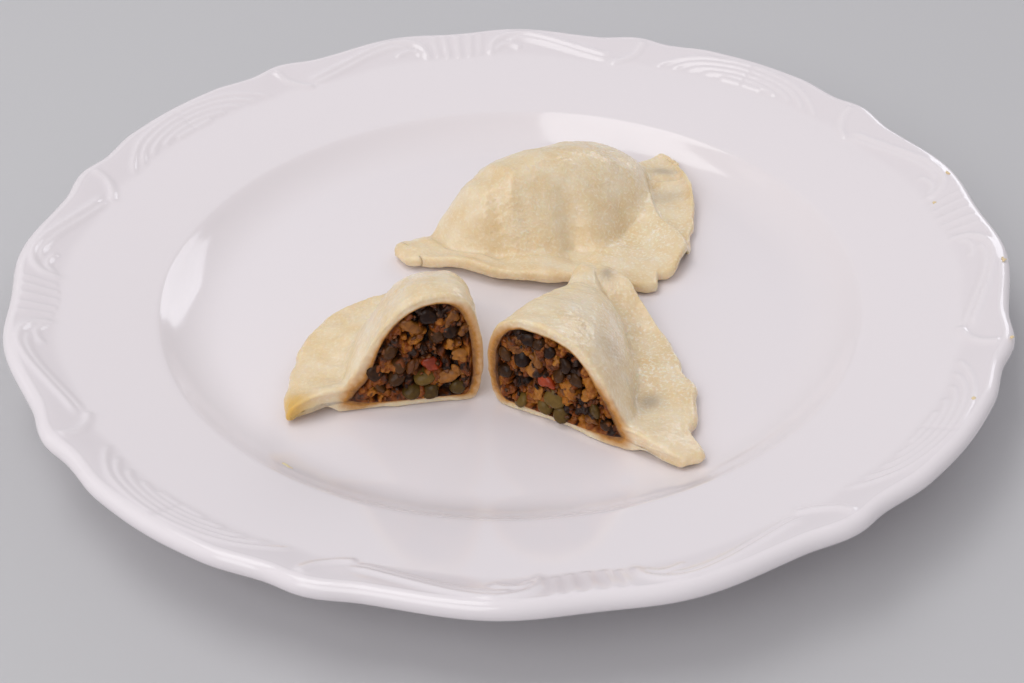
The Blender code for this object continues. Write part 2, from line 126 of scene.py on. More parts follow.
def bell(distance: Array, width: float) -> Array:
    """A bell curve, exp(-(distance / width)^2)."""
    return np.exp(-(distance / width) ** 2)


def nearest_on_line(x: Array, y: Array, line: Array) -> tuple[Array, Array]:
    """Find the nearest place on a chain of straight runs.

    Args:
        x: First coordinates.
        y: Second coordinates, of the same shape.
        line: The chain's corners, (n, 2).

    Returns:
        The distance, and the place along the chain as a share of its length.
    """
    steps = np.diff(line, axis=0)
    lengths = np.linalg.norm(steps, axis=1)
    starts = np.concatenate([[0.0], np.cumsum(lengths)])
    best = np.full(np.shape(x), np.inf)
    place = np.zeros(np.shape(x))
    for run, step in enumerate(steps):
        shift_x, shift_y = x - line[run, 0], y - line[run, 1]
        part = np.clip((shift_x * step[0] + shift_y * step[1]) / lengths[run] ** 2, 0.0, 1.0)
        distance = np.hypot(shift_x - part * step[0], shift_y - part * step[1])
        closer = distance < best
        best = np.where(closer, distance, best)
        place = np.where(closer, (starts[run] + part * lengths[run]) / starts[-1], place)
    return best, place


def rounded_chain(points: Array, count: int) -> Array:
    """Carry a smooth curve through some points.

    Between two points it is the Catmull-Rom cubic, whose slope at each point is half
    the step between that point's neighbours.

    Args:
        points: The points, (n, dimensions).
        count: Number of points in the result.

    Returns:
        Points on the curve, (count, dimensions).
    """
    padded = np.concatenate([[2 * points[0] - points[1]], points, [2 * points[-1] - points[-2]]])
    place = np.linspace(0.0, len(points) - 1.0, count)
    run = np.minimum(place.astype(int), len(points) - 2)
    t = (place - run)[:, None]
    before, start, end, after = (padded[run + shift] for shift in range(4))
    return 0.5 * (2 * start + (end - before) * t
                  + (2 * before - 5 * start + 4 * end - after) * t ** 2
                  + (3 * start - before - 3 * end + after) * t ** 3)


@dataclass(frozen=True)
class Ripples:
    """A soft random relief: plane waves of one length, added in random directions."""

    length: float          # metres from crest to crest
    height: float          # root mean square height
    seed: int
    waves: int = 36

    def at(self, points: Array) -> Array:
        """Relief at some points.

        height * sqrt(2 / waves) * sum of cos(2 pi direction . point / length + phase).

        Args:
            points: Coordinates, (..., 3).

        Returns:
            The relief, (...).
        """
        draw = np.random.default_rng(self.seed)
        directions = draw.normal(size=(self.waves, 3))
        directions /= np.linalg.norm(directions, axis=1, keepdims=True)
        directions *= draw.uniform(0.75, 1.3, size=(self.waves, 1))
        phases = draw.uniform(0.0, 2.0 * np.pi, size=self.waves)
        waves = np.cos(points @ directions.T * (2.0 * np.pi / self.length) + phases)
        return self.height * np.sqrt(2.0 / self.waves) * waves.sum(axis=-1)


# ---------------------------------------------------------------- meshes
def tube_quads(rows: int, columns: int) -> Array:
    """Corner numbers of the faces of a grid whose rows are closed rings.

    Args:
        rows: Number of rings.
        columns: Points of each ring.

    Returns:
        Four corner numbers for each face, (faces, 4).
    """
    row, column = np.meshgrid(np.arange(rows - 1), np.arange(columns), indexing="ij")
    low, after = row * columns, (column + 1) % columns
    corners = [low + column, low + after, low + columns + after, low + columns + column]
    return np.stack(corners, axis=-1).reshape(-1, 4)


def grid_normals(grid: Array) -> Array:
    """Unit normals of a grid of closed rings, pointing away from the rings' middles.

    Args:
        grid: Rings of points, (rows, columns, 3).

    Returns:
        The normals, of the same shape.
    """
    down = np.gradient(grid, axis=0)
    round_ring = np.roll(grid, -1, axis=1) - np.roll(grid, 1, axis=1)
    normals = np.cross(round_ring, down)
    normals /= np.maximum(np.linalg.norm(normals, axis=-1, keepdims=True), 1e-12)
    outward = grid - grid.mean(axis=1, keepdims=True)
    return normals * np.sign((normals * outward).sum())


def fill_mesh(name: str, points: Array, quads: Array, caps: list[list[int]] | None = None,
              values: dict[str, Array] | None = None) -> bpy.types.Mesh:
    """Make a smooth mesh from arrays.

    Args:
        name: Name of the mesh.
        points: Vertices, (n, 3).
        quads: Corner numbers, (faces, 4).
        caps: Further faces of any size.
        values: Named numbers for each vertex, which the finishes read.

    Returns:
        The mesh.
    """
    mesh = bpy.data.meshes.new(name)
    mesh.from_pydata(points.tolist(), [], quads.tolist() + (caps or []))
    for key, numbers in (values or {}).items():
        layer = mesh.attributes.new(key, "FLOAT", "POINT")
        layer.data.foreach_set("value", np.asarray(numbers, dtype=np.float32).ravel())
    mesh.update()
    mesh.shade_smooth()
    return mesh


def tube_mesh(name: str, grid: Array, values: dict[str, Array] | None = None,
              turned: bool = False) -> bpy.types.Mesh:
    """A closed solid from a grid of rings, with a face over each end.

    Args:
        name: Name of the mesh.
        grid: Rings of points, (rows, columns, 3).
        values: Numbers for each point, (rows, columns).
        turned: Turn the faces over.

    Returns:
        The mesh.
    """
    rows, columns = grid.shape[:2]
    quads = tube_quads(rows, columns)
    first = list(range(columns))[::-1]
    last = list(range((rows - 1) * columns, rows * columns))
    if turned:
        quads, first, last = quads[:, ::-1], first[::-1], last[::-1]
    return fill_mesh(name, grid.reshape(-1, 3), quads, [first, last], values)


def repeated_mesh(name: str, unit: Array, frames: Array, middles: Array,
                  values: dict[str, Array]) -> bpy.types.Mesh:
    """Many small closed shapes in one mesh.

    Args:
        name: Name of the mesh.
        unit: One shape's rings of points for each copy, (copies, rows, columns, 3).
        frames: The three stretched axes of each copy, (copies, 3, 3).
        middles: The place of each copy, (copies, 3).
        values: Named numbers, one for each copy.

    Returns:
        The mesh.
    """
    copies, rows, columns = unit.shape[:3]
    points = np.einsum("krcj,kji->krci", unit, frames) + middles[:, None, None, :]
    each = rows * columns
    start = np.arange(copies)[:, None, None] * each
    quads = (start + tube_quads(rows, columns)[None]).reshape(-1, 4)
    ring = np.arange(columns)
    caps = np.concatenate([start[:, 0] + ring[::-1], start[:, 0] + each - columns + ring])
    spread = {key: np.repeat(numbers, each) for key, numbers in values.items()}
    return fill_mesh(name, points.reshape(-1, 3), quads, caps.tolist(), spread)


def lumpy_balls(rows: int, columns: int, pole_gap: float, count: int, lumps: Ripples,
                step: float) -> Array:
    """Unit balls swollen by ripples, each by a different part of them.

    A point is (sin p cos t, sin p sin t, cos p) * (1 + ripples), with p from pole to
    pole and t round the ball.

    Args:
        rows: Rings of each ball.
        columns: Points of each ring.
        pole_gap: Angle of the open cap at each pole, in radians.
        count: Number of balls.
        lumps: The ripples.
        step: How far apart the balls lie in the ripples.

    Returns:
        Points, (count, rows, columns, 3).
    """
    pole = np.linspace(pole_gap, np.pi - pole_gap, rows)[:, None]
    turn = np.linspace(0.0, 2.0 * np.pi, columns, endpoint=False)[None, :]
    ball = np.stack([np.sin(pole) * np.cos(turn), np.sin(pole) * np.sin(turn),
                     np.cos(pole) + 0.0 * turn], axis=2)
    shift = np.arange(count)[:, None, None, None] * step
    return ball[None] * (1.0 + lumps.at(ball[None] + shift))[..., None]


def add_object(name: str, data: bpy.types.ID) -> Item:
    """Put an object into the scene.

    Args:
        name: Its name.
        data: Its mesh, light or camera.

    Returns:
        The object.
    """
    item = bpy.data.objects.new(name, data)
    bpy.context.scene.collection.objects.link(item)
    return item


def add_piece(mesh: bpy.types.Mesh, finishes: list[Material],
              stands_for: tuple[str, ...] = ()) -> Item:
    """Put a mesh into the scene as a piece of the object.

    Args:
        mesh: The piece's mesh, already in its place.
        finishes: Its materials.
        stands_for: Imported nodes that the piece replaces.

    Returns:
        The piece.
    """
    for finish in finishes:
        mesh.materials.append(finish)
    piece = add_object(mesh.name, mesh)
    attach(piece, BODY)
    if stands_for:
        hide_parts(*stands_for)
    return piece


# ---------------------------------------------------------------- finishes
def add_node(tree: bpy.types.NodeTree, kind: str, settings: dict[Any, Any] | None = None,
             links: dict[Any, Socket] | None = None) -> Socket:
    """Add a node to a material.

    Args:
        tree: The material's node tree.
        kind: Blender's name of the node type.
        settings: Values for the node's properties, and for sockets by name or number.
        links: Outputs that feed the node's inputs, by name or number.

    Returns:
        The node's main output.
    """
    node = tree.nodes.new(kind)
    for key, value in (settings or {}).items():
        if isinstance(key, str) and hasattr(node, key):
            setattr(node, key, value)
        else:
            node.inputs[key].default_value = value
    for key, output in (links or {}).items():
        tree.links.new(output, node.inputs[key])
    return node.outputs[MAIN_OUTPUT.get(kind, 0)]


def start_material(name: str, settings: dict[str, Any]) -> tuple[Any, Any, Any, Any]:
    """Start a material from a Principled shader.

    Args:
        name: Name of the material.
        settings: Values for the shader's sockets.

    Returns:
        The material, its node tree, its shader and the Object coordinates.
    """
    material = bpy.data.materials.new(name)
    material.use_nodes = True
    tree = material.node_tree
    shader = tree.nodes["Principled BSDF"]
    for key, value in settings.items():
        shader.inputs[key].default_value = value
    place = add_node(tree, "ShaderNodeTexCoord")
    return material, tree, shader, place


def feed(tree: bpy.types.NodeTree, shader: bpy.types.Node, sources: dict[str, Socket]) -> None:
    """Link outputs to the shader's sockets, by name."""
    for key, output in sources.items():
        tree.links.new(output, shader.inputs[key])


@dataclass(frozen=True)
class Glaze:
    """Clear feldspar glaze over white porcelain: glassy, with a faint waviness.

    The glaze pools in the hollows of the moulded rim, where it looks a little darker.
    """

    body: str = "#F1EAED"
    pooled: str = "#E3DBDF"
    wave: float = 14.0         # mm between the glaze's slow waves

    def material(self) -> Material:
        """Build the finish.

        Returns:
            The material.
        """
        material, tree, shader, place = start_material(
            "glazed_porcelain", {"Roughness": 0.1, "IOR": 1.5})
        pool = add_node(tree, "ShaderNodeAttribute", {"attribute_name": "pool"})
        tint = add_node(tree, "ShaderNodeMix",
                        {"data_type": "RGBA", MIX_A: linear(self.body), MIX_B: linear(self.pooled)},
                        {MIX_FACTOR: pool})
        waves = add_node(tree, "ShaderNodeTexNoise", {"Scale": per_mm(self.wave), "Detail": 1.0},
                         {"Vector": place})
        gloss = add_node(tree, "ShaderNodeMapRange", {"To Min": 0.06, "To Max": 0.13},
                         {"Value": waves})
        bump = add_node(tree, "ShaderNodeBump", {"Strength": 0.35, "Distance": 0.15 * MM},
                        {"Height": waves})
        feed(tree, shader, {"Base Color": tint, "Roughness": gloss, "Normal": bump})
        return material


@dataclass(frozen=True)
class Biscuit:
    """Fired porcelain without glaze, on the foot ring: chalky, with a fine tooth."""

    body: str = "#D9D3C8"
    grain: float = 0.6         # mm; real grain is finer, and is drawn as coarse as it can show

    def material(self) -> Material:
        """Build the finish.

        Returns:
            The material.
        """
        material, tree, shader, place = start_material(
            "biscuit_foot", {"Base Color": linear(self.body), "Roughness": 0.85})
        grain = add_node(tree, "ShaderNodeTexNoise", {"Scale": per_mm(self.grain)},
                         {"Vector": place})
        bump = add_node(tree, "ShaderNodeBump", {"Strength": 0.4, "Distance": 0.1 * MM},
                        {"Height": grain})
        feed(tree, shader, {"Normal": bump})
        return material


@dataclass(frozen=True)
class BoiledDough:
    """Boiled wheat dough: moist and translucent, so light bleeds through thin parts.

    Rolling and boiling leave a fine orange-peel texture that breaks up the wet sheen.
    It reads four numbers of each point: stain (filling juice), shade (a dark lentil
    under the skin), tan (yellower, thicker or dried dough) and rough (coarser skin, whose
    bumps also get painted glints: pale dots that stand in for their highlights).
    """

    pale: str = "#F2E1C2"
    deep: str = "#E9CFA2"
    glint_paint: str = "#FFF9EC"    # painted highlight: pale dots on the bumps of coarse skin, standing in for their glints
    tanned: str = "#DDB25A"
    shaded: str = "#92867C"
    juice: str = "#C4862E"
    juice_dark: str = "#6E4010"
    mottle: float = 7.0        # mm between paler and yellower patches
    peel: float = 0.8          # mm between the bumps of the skin
    streak: float = 1.6        # mm between the streaks of juice that soaked in

    def material(self) -> Material:
        """Build the finish.

        Returns:
            The material.
        """
        material, tree, shader, place = start_material(
            "boiled_dough",
            {"Roughness": 0.42, "IOR": 1.42, "Subsurface Weight": 0.45,
             "Subsurface Radius": (1.0, 0.72, 0.38), "Subsurface Scale": 1.8 * MM,
             "Coat Weight": 0.42, "Coat Roughness": 0.13})
        mask = {key: add_node(tree, "ShaderNodeAttribute", {"attribute_name": key})
                for key in ("stain", "shade", "tan", "rough")}
        mottle = add_node(tree, "ShaderNodeTexNoise", {"Scale": per_mm(self.mottle), "Detail": 3.0},
                          {"Vector": place})
        share = add_node(tree, "ShaderNodeMapRange", {"From Min": 0.3, "From Max": 0.7},
                         {"Value": mottle})
        colour = add_node(tree, "ShaderNodeMix",
                          {"data_type": "RGBA", MIX_A: linear(self.pale), MIX_B: linear(self.deep)},
                          {MIX_FACTOR: share})
        peel = add_node(tree, "ShaderNodeTexNoise",
                        {"Scale": per_mm(self.peel), "Detail": 2.5, "Roughness": 0.55},
                        {"Vector": place})
        # painted highlight: where the skin is coarse, the tops of the peel's bumps are mixed
        # towards a pale colour
        painted_glints = add_node(tree, "ShaderNodeMapRange",
                        {"From Min": 0.5, "From Max": 0.68, "To Max": 0.75},
                        {"Value": peel})
        painted_glints = add_node(tree, "ShaderNodeMath", {"operation": "MULTIPLY"},
                        {0: painted_glints, 1: mask["rough"]})
        layers = [(painted_glints, self.glint_paint), (mask["tan"], self.tanned), (mask["shade"], self.shaded)]
        streaks = add_node(tree, "ShaderNodeTexNoise",
                           {"Scale": per_mm(self.streak), "Detail": 2.0}, {"Vector": place})
        soaked = add_node(tree, "ShaderNodeMath", {"operation": "MULTIPLY_ADD", 1: 0.5, 2: -0.25},
                          {0: streaks})
        soaked = add_node(tree, "ShaderNodeMath", {"operation": "ADD"},
                          {0: mask["stain"], 1: soaked})
        for low, high, code in ((0.12, 0.75, self.juice), (0.72, 1.15, self.juice_dark)):
            layers.append((add_node(tree, "ShaderNodeMapRange",
                                    {"From Min": low, "From Max": high}, {"Value": soaked}),
                           code))
        for cover, code in layers:
            colour = add_node(tree, "ShaderNodeMix", {"data_type": "RGBA", MIX_B: linear(code)},
                              {MIX_FACTOR: cover, MIX_A: colour})
        rough = add_node(tree, "ShaderNodeMapRange", {"To Min": 0.25, "To Max": 1.0},
                         {"Value": mask["rough"]})
        bump = add_node(tree, "ShaderNodeBump", {"Distance": 0.42 * MM},
                        {"Height": peel, "Strength": rough})
        gloss = add_node(tree, "ShaderNodeMapRange", {"To Min": 0.33, "To Max": 0.47},
                         {"Value": mottle})
        feed(tree, shader, {"Base Color": colour, "Roughness": gloss, "Normal": bump})
        return material


@dataclass(frozen=True)
class LentilMash:
    """Mashed lentils and fried onion, soaked in tomato and oil: dark, moist and rusty.

    It reads ``tone`` (0 for dark lumps, 1 for amber ones) and ``light``, a painted shade that is 0
    in the deep gaps between the lumps, where the mash is painted near black.
    """

    # painted shade: the near-black colour of the deep gaps between the lumps
    gap: str = "#0C0402"
    dark: str = "#2B1609"
    rust: str = "#7C3C07"
    amber: str = "#AC6A1C"
    clump: float = 1.8         # mm between paler and darker patches
    crumb: float = 0.7         # mm between the crumbs that roughen it

    def material(self) -> Material:
        """Build the finish.

        Returns:
            The material.
        """
        material, tree, shader, place = start_material(
            "lentil_mash", {"Roughness": 0.5, "Specular IOR Level": 0.3,
                            "Coat Weight": 0.06, "Coat Roughness": 0.15,
                            "Subsurface Weight": 0.15, "Subsurface Scale": 0.8 * MM,
                            "Subsurface Radius": (1.0, 0.35, 0.1)})
        patches = add_node(tree, "ShaderNodeTexNoise", {"Scale": per_mm(self.clump), "Detail": 4.0},
                           {"Vector": place})
        crumbs = add_node(tree, "ShaderNodeTexNoise", {"Scale": per_mm(self.crumb), "Detail": 2.0},
                          {"Vector": place})
        tone, light = (add_node(tree, "ShaderNodeAttribute", {"attribute_name": key})
                       for key in ("tone", "light"))
        shift = add_node(tree, "ShaderNodeMath", {"operation": "MULTIPLY_ADD", 1: 1.3, 2: -0.65},
                         {0: patches})
        share = add_node(tree, "ShaderNodeMath", {"operation": "ADD"}, {0: tone, 1: shift})
        rusty = add_node(tree, "ShaderNodeMapRange", {"From Min": 0.1, "From Max": 0.5},
                         {"Value": share})
        golden = add_node(tree, "ShaderNodeMapRange", {"From Min": 0.55, "From Max": 1.0},
                          {"Value": share})
        colour = add_node(tree, "ShaderNodeMix",
                          {"data_type": "RGBA", MIX_A: linear(self.dark), MIX_B: linear(self.rust)},
                          {MIX_FACTOR: rusty})
        colour = add_node(tree, "ShaderNodeMix", {"data_type": "RGBA", MIX_B: linear(self.amber)},
                          {MIX_FACTOR: golden, MIX_A: colour})
        # painted shade: where light is low, in the deep gaps, the colour goes to near black
        colour = add_node(tree, "ShaderNodeMix", {"data_type": "RGBA", MIX_A: linear(self.gap)},
                          {MIX_FACTOR: light, MIX_B: colour})
        bump = add_node(tree, "ShaderNodeBump", {"Strength": 0.6, "Distance": 0.22 * MM},
                        {"Height": crumbs})
        feed(tree, shader, {"Base Color": colour, "Normal": bump})
        return material


@dataclass(frozen=True)
class TwoToned:
    """The finish of small morsels: it goes from its first to its second colour.

    It reads ``tone``, a number for each morsel, and shifts it by a fine noise.
    """

    name: str
    first: str
    second: str
    grain: float = 1.2         # mm between its fibres or speckles
    gloss: float = 0.3
    sway: float = 1.2          # how far the noise shifts the tone
    bump: tuple[float, float] = (0.35, 0.2)    # the relief's strength, and its height in mm

    def sheen(self) -> dict[str, Any]:
        """The shader's values for the way it shines."""
        return {"Roughness": self.gloss}

    def material(self) -> Material:
        """Build the finish.

        Returns:
            The material.
        """
        material, tree, shader, place = start_material(self.name, self.sheen())
        tone = add_node(tree, "ShaderNodeAttribute", {"attribute_name": "tone"})
        fibres = add_node(tree, "ShaderNodeTexNoise", {"Scale": per_mm(self.grain), "Detail": 3.0},
                          {"Vector": place})
        shift = add_node(tree, "ShaderNodeMath",
                         {"operation": "MULTIPLY_ADD", 1: self.sway, 2: -0.5 * self.sway},
                         {0: fibres})
        share = add_node(tree, "ShaderNodeMath", {"operation": "ADD", "use_clamp": True},
                         {0: tone, 1: shift})
        colour = add_node(tree, "ShaderNodeMix",
                          {"data_type": "RGBA", MIX_A: linear(self.first),
                           MIX_B: linear(self.second)},
                          {MIX_FACTOR: share})
        strength, height = self.bump
        bump = add_node(tree, "ShaderNodeBump", {"Strength": strength, "Distance": height * MM},
                        {"Height": fibres})
        feed(tree, shader, {"Base Color": colour, "Normal": bump})
        return material


@dataclass(frozen=True)
class SoftMorsel(TwoToned):
    """A soft cooked morsel, such as fried onion or pepper: moist and translucent."""

    def sheen(self) -> dict[str, Any]:
        """The shader's values for the way it shines."""
        return {"Roughness": self.gloss, "Specular IOR Level": 0.35, "Coat Weight": 0.08,
                "Coat Roughness": 0.1, "Subsurface Weight": 0.15,
                "Subsurface Scale": 0.8 * MM, "Subsurface Radius": (1.0, 0.5, 0.2)}


@dataclass(frozen=True)
class LentilSkin(TwoToned):
    """Cooked lentil: a thin smooth seed coat, a little oily, in patches of two browns."""

    grain: float = 1.0
    gloss: float = 0.28
    sway: float = 0.9
    bump: tuple[float, float] = (0.25, 0.12)

    def sheen(self) -> dict[str, Any]:
        """The shader's values for the way it shines."""
        return {"Roughness": self.gloss, "Specular IOR Level": 0.16, "Coat Weight": 0.03,
                "Coat Roughness": 0.05}


@dataclass(frozen=True)
class StudioPaper:
    """Matt seamless background paper."""

    body: str = "#C9C8CA"

    def material(self) -> Material:
        """Build the finish.

        Returns:
            The material.
        """
        return start_material("studio_paper", {"Base Color": linear(self.body),
                                               "Roughness": 0.9})[0]


# ---------------------------------------------------------------- plate
@dataclass(frozen=True)
class Rib:
    """A raised line of the rim's ornament, through (degrees from a shell, radius in mm)."""

    line: tuple[tuple[float, float], ...]
    width: float               # metres from the crest to where it has almost gone
    height: float


@dataclass
class DinnerPlate:
    """A porcelain dinner plate with a scalloped rim and moulded scrolls."""

    rim_radius: float = 0.1325
    rim_height: float = 0.025
    lip_radius: float = 0.0025
    motif_bearing: float = 7.2             # degrees, where the first shell stands
    shelf_radius: float = 0.0947
    shelf_height: float = 0.014
    shelf_slope: float = 0.276
    shelf_rounding: float = 0.0003
    steepening: float = 0.00128            # how far the shelf's outer part rises above its slope
    ornament_radius: float = 0.117         # the moulded ornament lies outside it
    band_radius: float = 0.119             # from here the rim steepens and the glaze pools
    scallop_radius: float = 0.108          # from here the rings start to follow the scallop
    ornament_middle: float = 0.125         # turns bearings into lengths along the band
    floor_radius: float = 0.078
    floor_height: float = 0.0065
    foot_radius: float = 0.074
    foot_half_width: float = 0.0022
    recess_height: float = 0.002
    rim_thickness: float = 0.0048
    pooling: float = 0.28                  # how strongly the glaze darkens between the ribs
    columns: int = 1040
    lip_run: tuple[tuple[float, float], ...] = (
        (0.0, 132.2), (8.5, 133.5), (21.0, 131.2), (27.0, 133.0),
        (31.5, 131.7), (38.0, 133.0), (45.0, 133.2))
    ribs: tuple[Rib, ...] = (
        Rib(((24.8, 121.9), (20.5, 124.3), (16.2, 126.2), (12.0, 127.9), (9.0, 128.4),
             (6.7, 127.3), (5.4, 125.0), (5.0, 122.4), (5.0, 120.4)), 0.0012, 0.00062),
        Rib(((24.3, 120.5), (19.2, 123.0), (13.8, 125.5), (9.6, 126.6), (7.6, 125.6)),
            0.0010, 0.0004),
        Rib(((23.6, 119.4), (25.6, 120.6), (27.1, 123.2), (27.7, 126.0), (27.9, 128.8)),
            0.0012, 0.0006),
        Rib(((9.8, 122.6), (8.4, 124.0), (6.8, 124.1), (5.6, 122.2)), 0.0009, 0.0004),
        Rib(((0.0, 119.6), (0.0, 129.6)), 0.0009, 0.00035),
        Rib(((1.7, 119.8), (1.9, 129.6)), 0.0008, 0.00035),
        Rib(((3.2, 120.4), (3.5, 129.8)), 0.0008, 0.00028),
    )
    fan_peak: float = 128.4                # mm, top of the fan's outermost rib
    fan_step: float = 1.75                 # mm between its ribs
    fan_ribs: int = 5
    fan_spread: float = 14.0               # degrees to each side of the outermost rib's foot
    fan_narrowing: float = 2.6             # degrees less at each rib further in
    fan_foot: tuple[float, float] = (119.4, 0.5)        # mm, of the outermost, and the step
    fan_relief: tuple[float, float] = (0.0009, 0.0004)  # width and height of its ribs

    def lip(self, bearing: Array) -> Array:
        """Radius of the lip: cosine blends between the stops of each eighth of the rim.

        Args:
            bearing: Angles round the plate, in radians.

        Returns:
            The radii in metres.
        """
        folded = self.folded(bearing)
        stops, radii = np.array(self.lip_run).T
        place = np.clip(np.searchsorted(stops, folded, side="right") - 1, 0, len(stops) - 2)
        part = (folded - stops[place]) / (stops[place + 1] - stops[place])
        blend = 0.5 - 0.5 * np.cos(np.pi * np.clip(part, 0.0, 1.0))
        return MM * (radii[place] * (1.0 - blend) + radii[place + 1] * blend)

    def folded(self, bearing: Array) -> Array:
        """Degrees from the nearest shell, 0 to 45."""
        return np.abs((np.degrees(bearing) - self.motif_bearing + 45.0) % 90.0 - 45.0)

    def wall(self, radius: Array) -> Array:
        """Top of the well, carried on past its edge: flat, then rise * part^2.2."""
        part = (np.maximum(radius - self.floor_radius, 0.0)
                / (self.shelf_radius - self.floor_radius))
        return self.floor_height + (self.shelf_height - self.floor_height) * part ** 2.2

    def well(self, radius: Array) -> Array:
        """Top of the plate from its middle to the shelf's edge, and level beyond it."""
        return self.wall(np.minimum(radius, self.shelf_radius))

    def shelf(self, radius: Array) -> Array:
        """Top of the broad rim: a straight slope that steepens towards the lip."""
        slope = self.shelf_height + self.shelf_slope * (radius - self.shelf_radius)
        return slope + self.steepening * smooth_step((radius - self.band_radius) / 0.0115)

    def followed(self, radius: Array) -> Array:
        """How far the rings follow the scalloped lip: 0 at the shelf, 1 near the lip."""
        run = self.rim_radius - self.scallop_radius - 0.003
        return smooth_step((radius - self.scallop_radius) / run)

    def surface(self, bearing: Array, radius: Array) -> Array:
        """Points of the finished top at some bearings and radii.

        The scallop moves each ring out, so the ring under a point is found in steps.

        Args:
            bearing: Angles round the plate, in radians.
            radius: Distances from its middle.

        Returns:
            Points, (n, 3).
        """
        scallop = self.lip(bearing) - self.rim_radius
        ring = radius
        for _ in range(4):
            ring = radius - self.followed(ring) * scallop
        level = np.where(ring > self.shelf_radius, self.shelf(ring), self.well(ring))
        level = level + self.shelf_slope * self.followed(ring) * scallop
        raised = np.where(ring > self.ornament_radius, self.ornament(bearing, ring), 0.0)
        return np.stack([radius * np.cos(bearing), radius * np.sin(bearing), level + raised],
                        axis=1)

    def ornament(self, bearing: Array, radius: Array) -> Array:
        """Height of the moulded ornament: the highest of the ribs' bell-shaped crests.

        Args:
            bearing: Angles round the plate, in radians.
            radius: Distances from its middle, before the scallop.

        Returns:
            The height above the plain rim.
        """
        folded = self.folded(bearing)
        x, y = np.radians(folded) * self.ornament_middle, radius
        height = np.zeros(np.shape(x))
        lines = list(self.ribs)
        for number in range(self.fan_ribs):
            spread = self.fan_spread - self.fan_narrowing * number
            turn = np.linspace(0.0, np.pi / 2.0, 14)
            foot = self.fan_foot[0] + self.fan_foot[1] * number
            peak = self.fan_peak - self.fan_step * number
            line = np.stack([45.0 - spread * np.cos(turn), foot + (peak - foot) * np.sin(turn)],
                            axis=1)
            lines.append(Rib(tuple(map(tuple, line)), *self.fan_relief))
        for rib in lines:
            line = rounded_chain(np.array(rib.line), 40)
            line = np.stack([np.radians(line[:, 0]) * self.ornament_middle, line[:, 1] * MM],
                            axis=1)
            distance, place = nearest_on_line(x, y, line)
            fade = smooth_step(place / 0.12) * smooth_step((1.0 - place) / 0.06 + 0.35)
            height = np.maximum(height, rib.height * fade * bell(distance, rib.width))
        return height

    def profile(self) -> tuple[Array, Array, Array, int]:
        """The plate's turned profile, from the middle over the lip to the recess.

        Returns:
            Radii, heights, how far each ring follows the scallop (0 to 1), and the
            number of the last ring on top.
        """
        well = np.concatenate([[0.002, 0.03, 0.055, 0.07], np.linspace(0.076, 0.0947, 15)])
        shelf = np.concatenate([[0.0949, 0.0951, 0.0954, 0.0958, 0.0963, 0.0970],
                                np.linspace(0.098, 0.117, 5), np.linspace(0.118, 0.1292, 27)])
        top_radius = np.concatenate([well, shelf])
        wall = self.wall(top_radius)
        rounded = -smooth_max(-wall, -self.shelf(top_radius), self.shelf_rounding)
        top_height = np.where(top_radius < self.floor_radius + 0.002, wall, rounded)
        turn = np.radians(np.linspace(100.0, -75.0, 12))
        lip_radius = self.rim_radius - self.lip_radius + self.lip_radius * np.cos(turn)
        lip_height = self.rim_height - self.lip_radius + self.lip_radius * np.sin(turn)
        inner, outer = (self.foot_radius + sign * self.foot_half_width for sign in (-1.0, 1.0))
        below = rounded_chain(np.array([
            (lip_radius[-1], lip_height[-1]),
            (0.114, 0.0148),
            (self.shelf_radius + 0.002, self.shelf_height - self.rim_thickness),
            (self.shelf_radius - 0.009, self.shelf_height - 0.0085),
            (outer + 0.0014, 0.0022)]), 16)[1:]
        foot = np.array([(outer + 0.0007, 0.0008), (outer + 0.0002, 0.0002), (outer - 0.0003, 0.0),
                         (self.foot_radius, 0.0), (inner + 0.0003, 0.0), (inner - 0.0002, 0.0002),
                         (inner - 0.0007, 0.0008), (inner - 0.0016, 0.0017),
                         (inner - 0.004, self.recess_height), (0.03, self.recess_height)])
        radius = np.concatenate([top_radius, lip_radius, below[:, 0], foot[:, 0]])
        height = np.concatenate([top_height, lip_height, below[:, 1], foot[:, 1]])
        return radius, height, self.followed(radius), len(top_radius) - 1

    def build(self) -> Item:
        """Make the plate: its profile turned, then scalloped, then given its ornament.

        Returns:
            The piece.
        """
        radius, height, share, last_top = self.profile()
        bearing = np.radians(self.motif_bearing) + np.linspace(0.0, 2.0 * np.pi, self.columns,
                                                               endpoint=False)
        scallop = self.lip(bearing) - self.rim_radius
        ring = radius[:, None] + share[:, None] * scallop
        level = height[:, None] + self.shelf_slope * share[:, None] * scallop
        on_top = np.arange(len(radius))[:, None] <= last_top
        angle = np.broadcast_to(bearing, ring.shape)
        relief = np.where(on_top & (radius[:, None] > self.ornament_radius),
                          self.ornament(angle, radius[:, None] + 0.0 * ring), 0.0)
        grid = np.stack([ring * np.cos(angle), ring * np.sin(angle), level + relief], axis=2)
        in_band = smooth_step((radius[:, None] - self.band_radius) / 0.003) * on_top
        pool = in_band * (1.0 - smooth_step(relief / 0.00045)) * self.pooling
        mesh = tube_mesh("plate_glazed", grid, {"pool": pool}, turned=True)
        under_foot = (height[:-1] < 0.0003) & (height[1:] < 0.0003) & (radius[:-1] > 0.05)
        slots = np.zeros(len(mesh.polygons), dtype=np.int32)
        slots[:(len(radius) - 1) * self.columns] = np.repeat(under_foot.astype(np.int32),
                                                             self.columns)
        piece = add_piece(mesh, [Glaze().material(), Biscuit().material()],
                          ("plate",))
        mesh.polygons.foreach_set("material_index", slots)
        return piece


PLATE = DinnerPlate()


# ---------------------------------------------------------------- dumplings
@dataclass(frozen=True)
class Lift:
    """A stretch of the seal that stands off the plate (bearing in degrees)."""

    bearing: float
    spread: float
    at_foot: float
    at_edge: float
    bend: float = 1.0          # above 1 it keeps the foot's height for longer


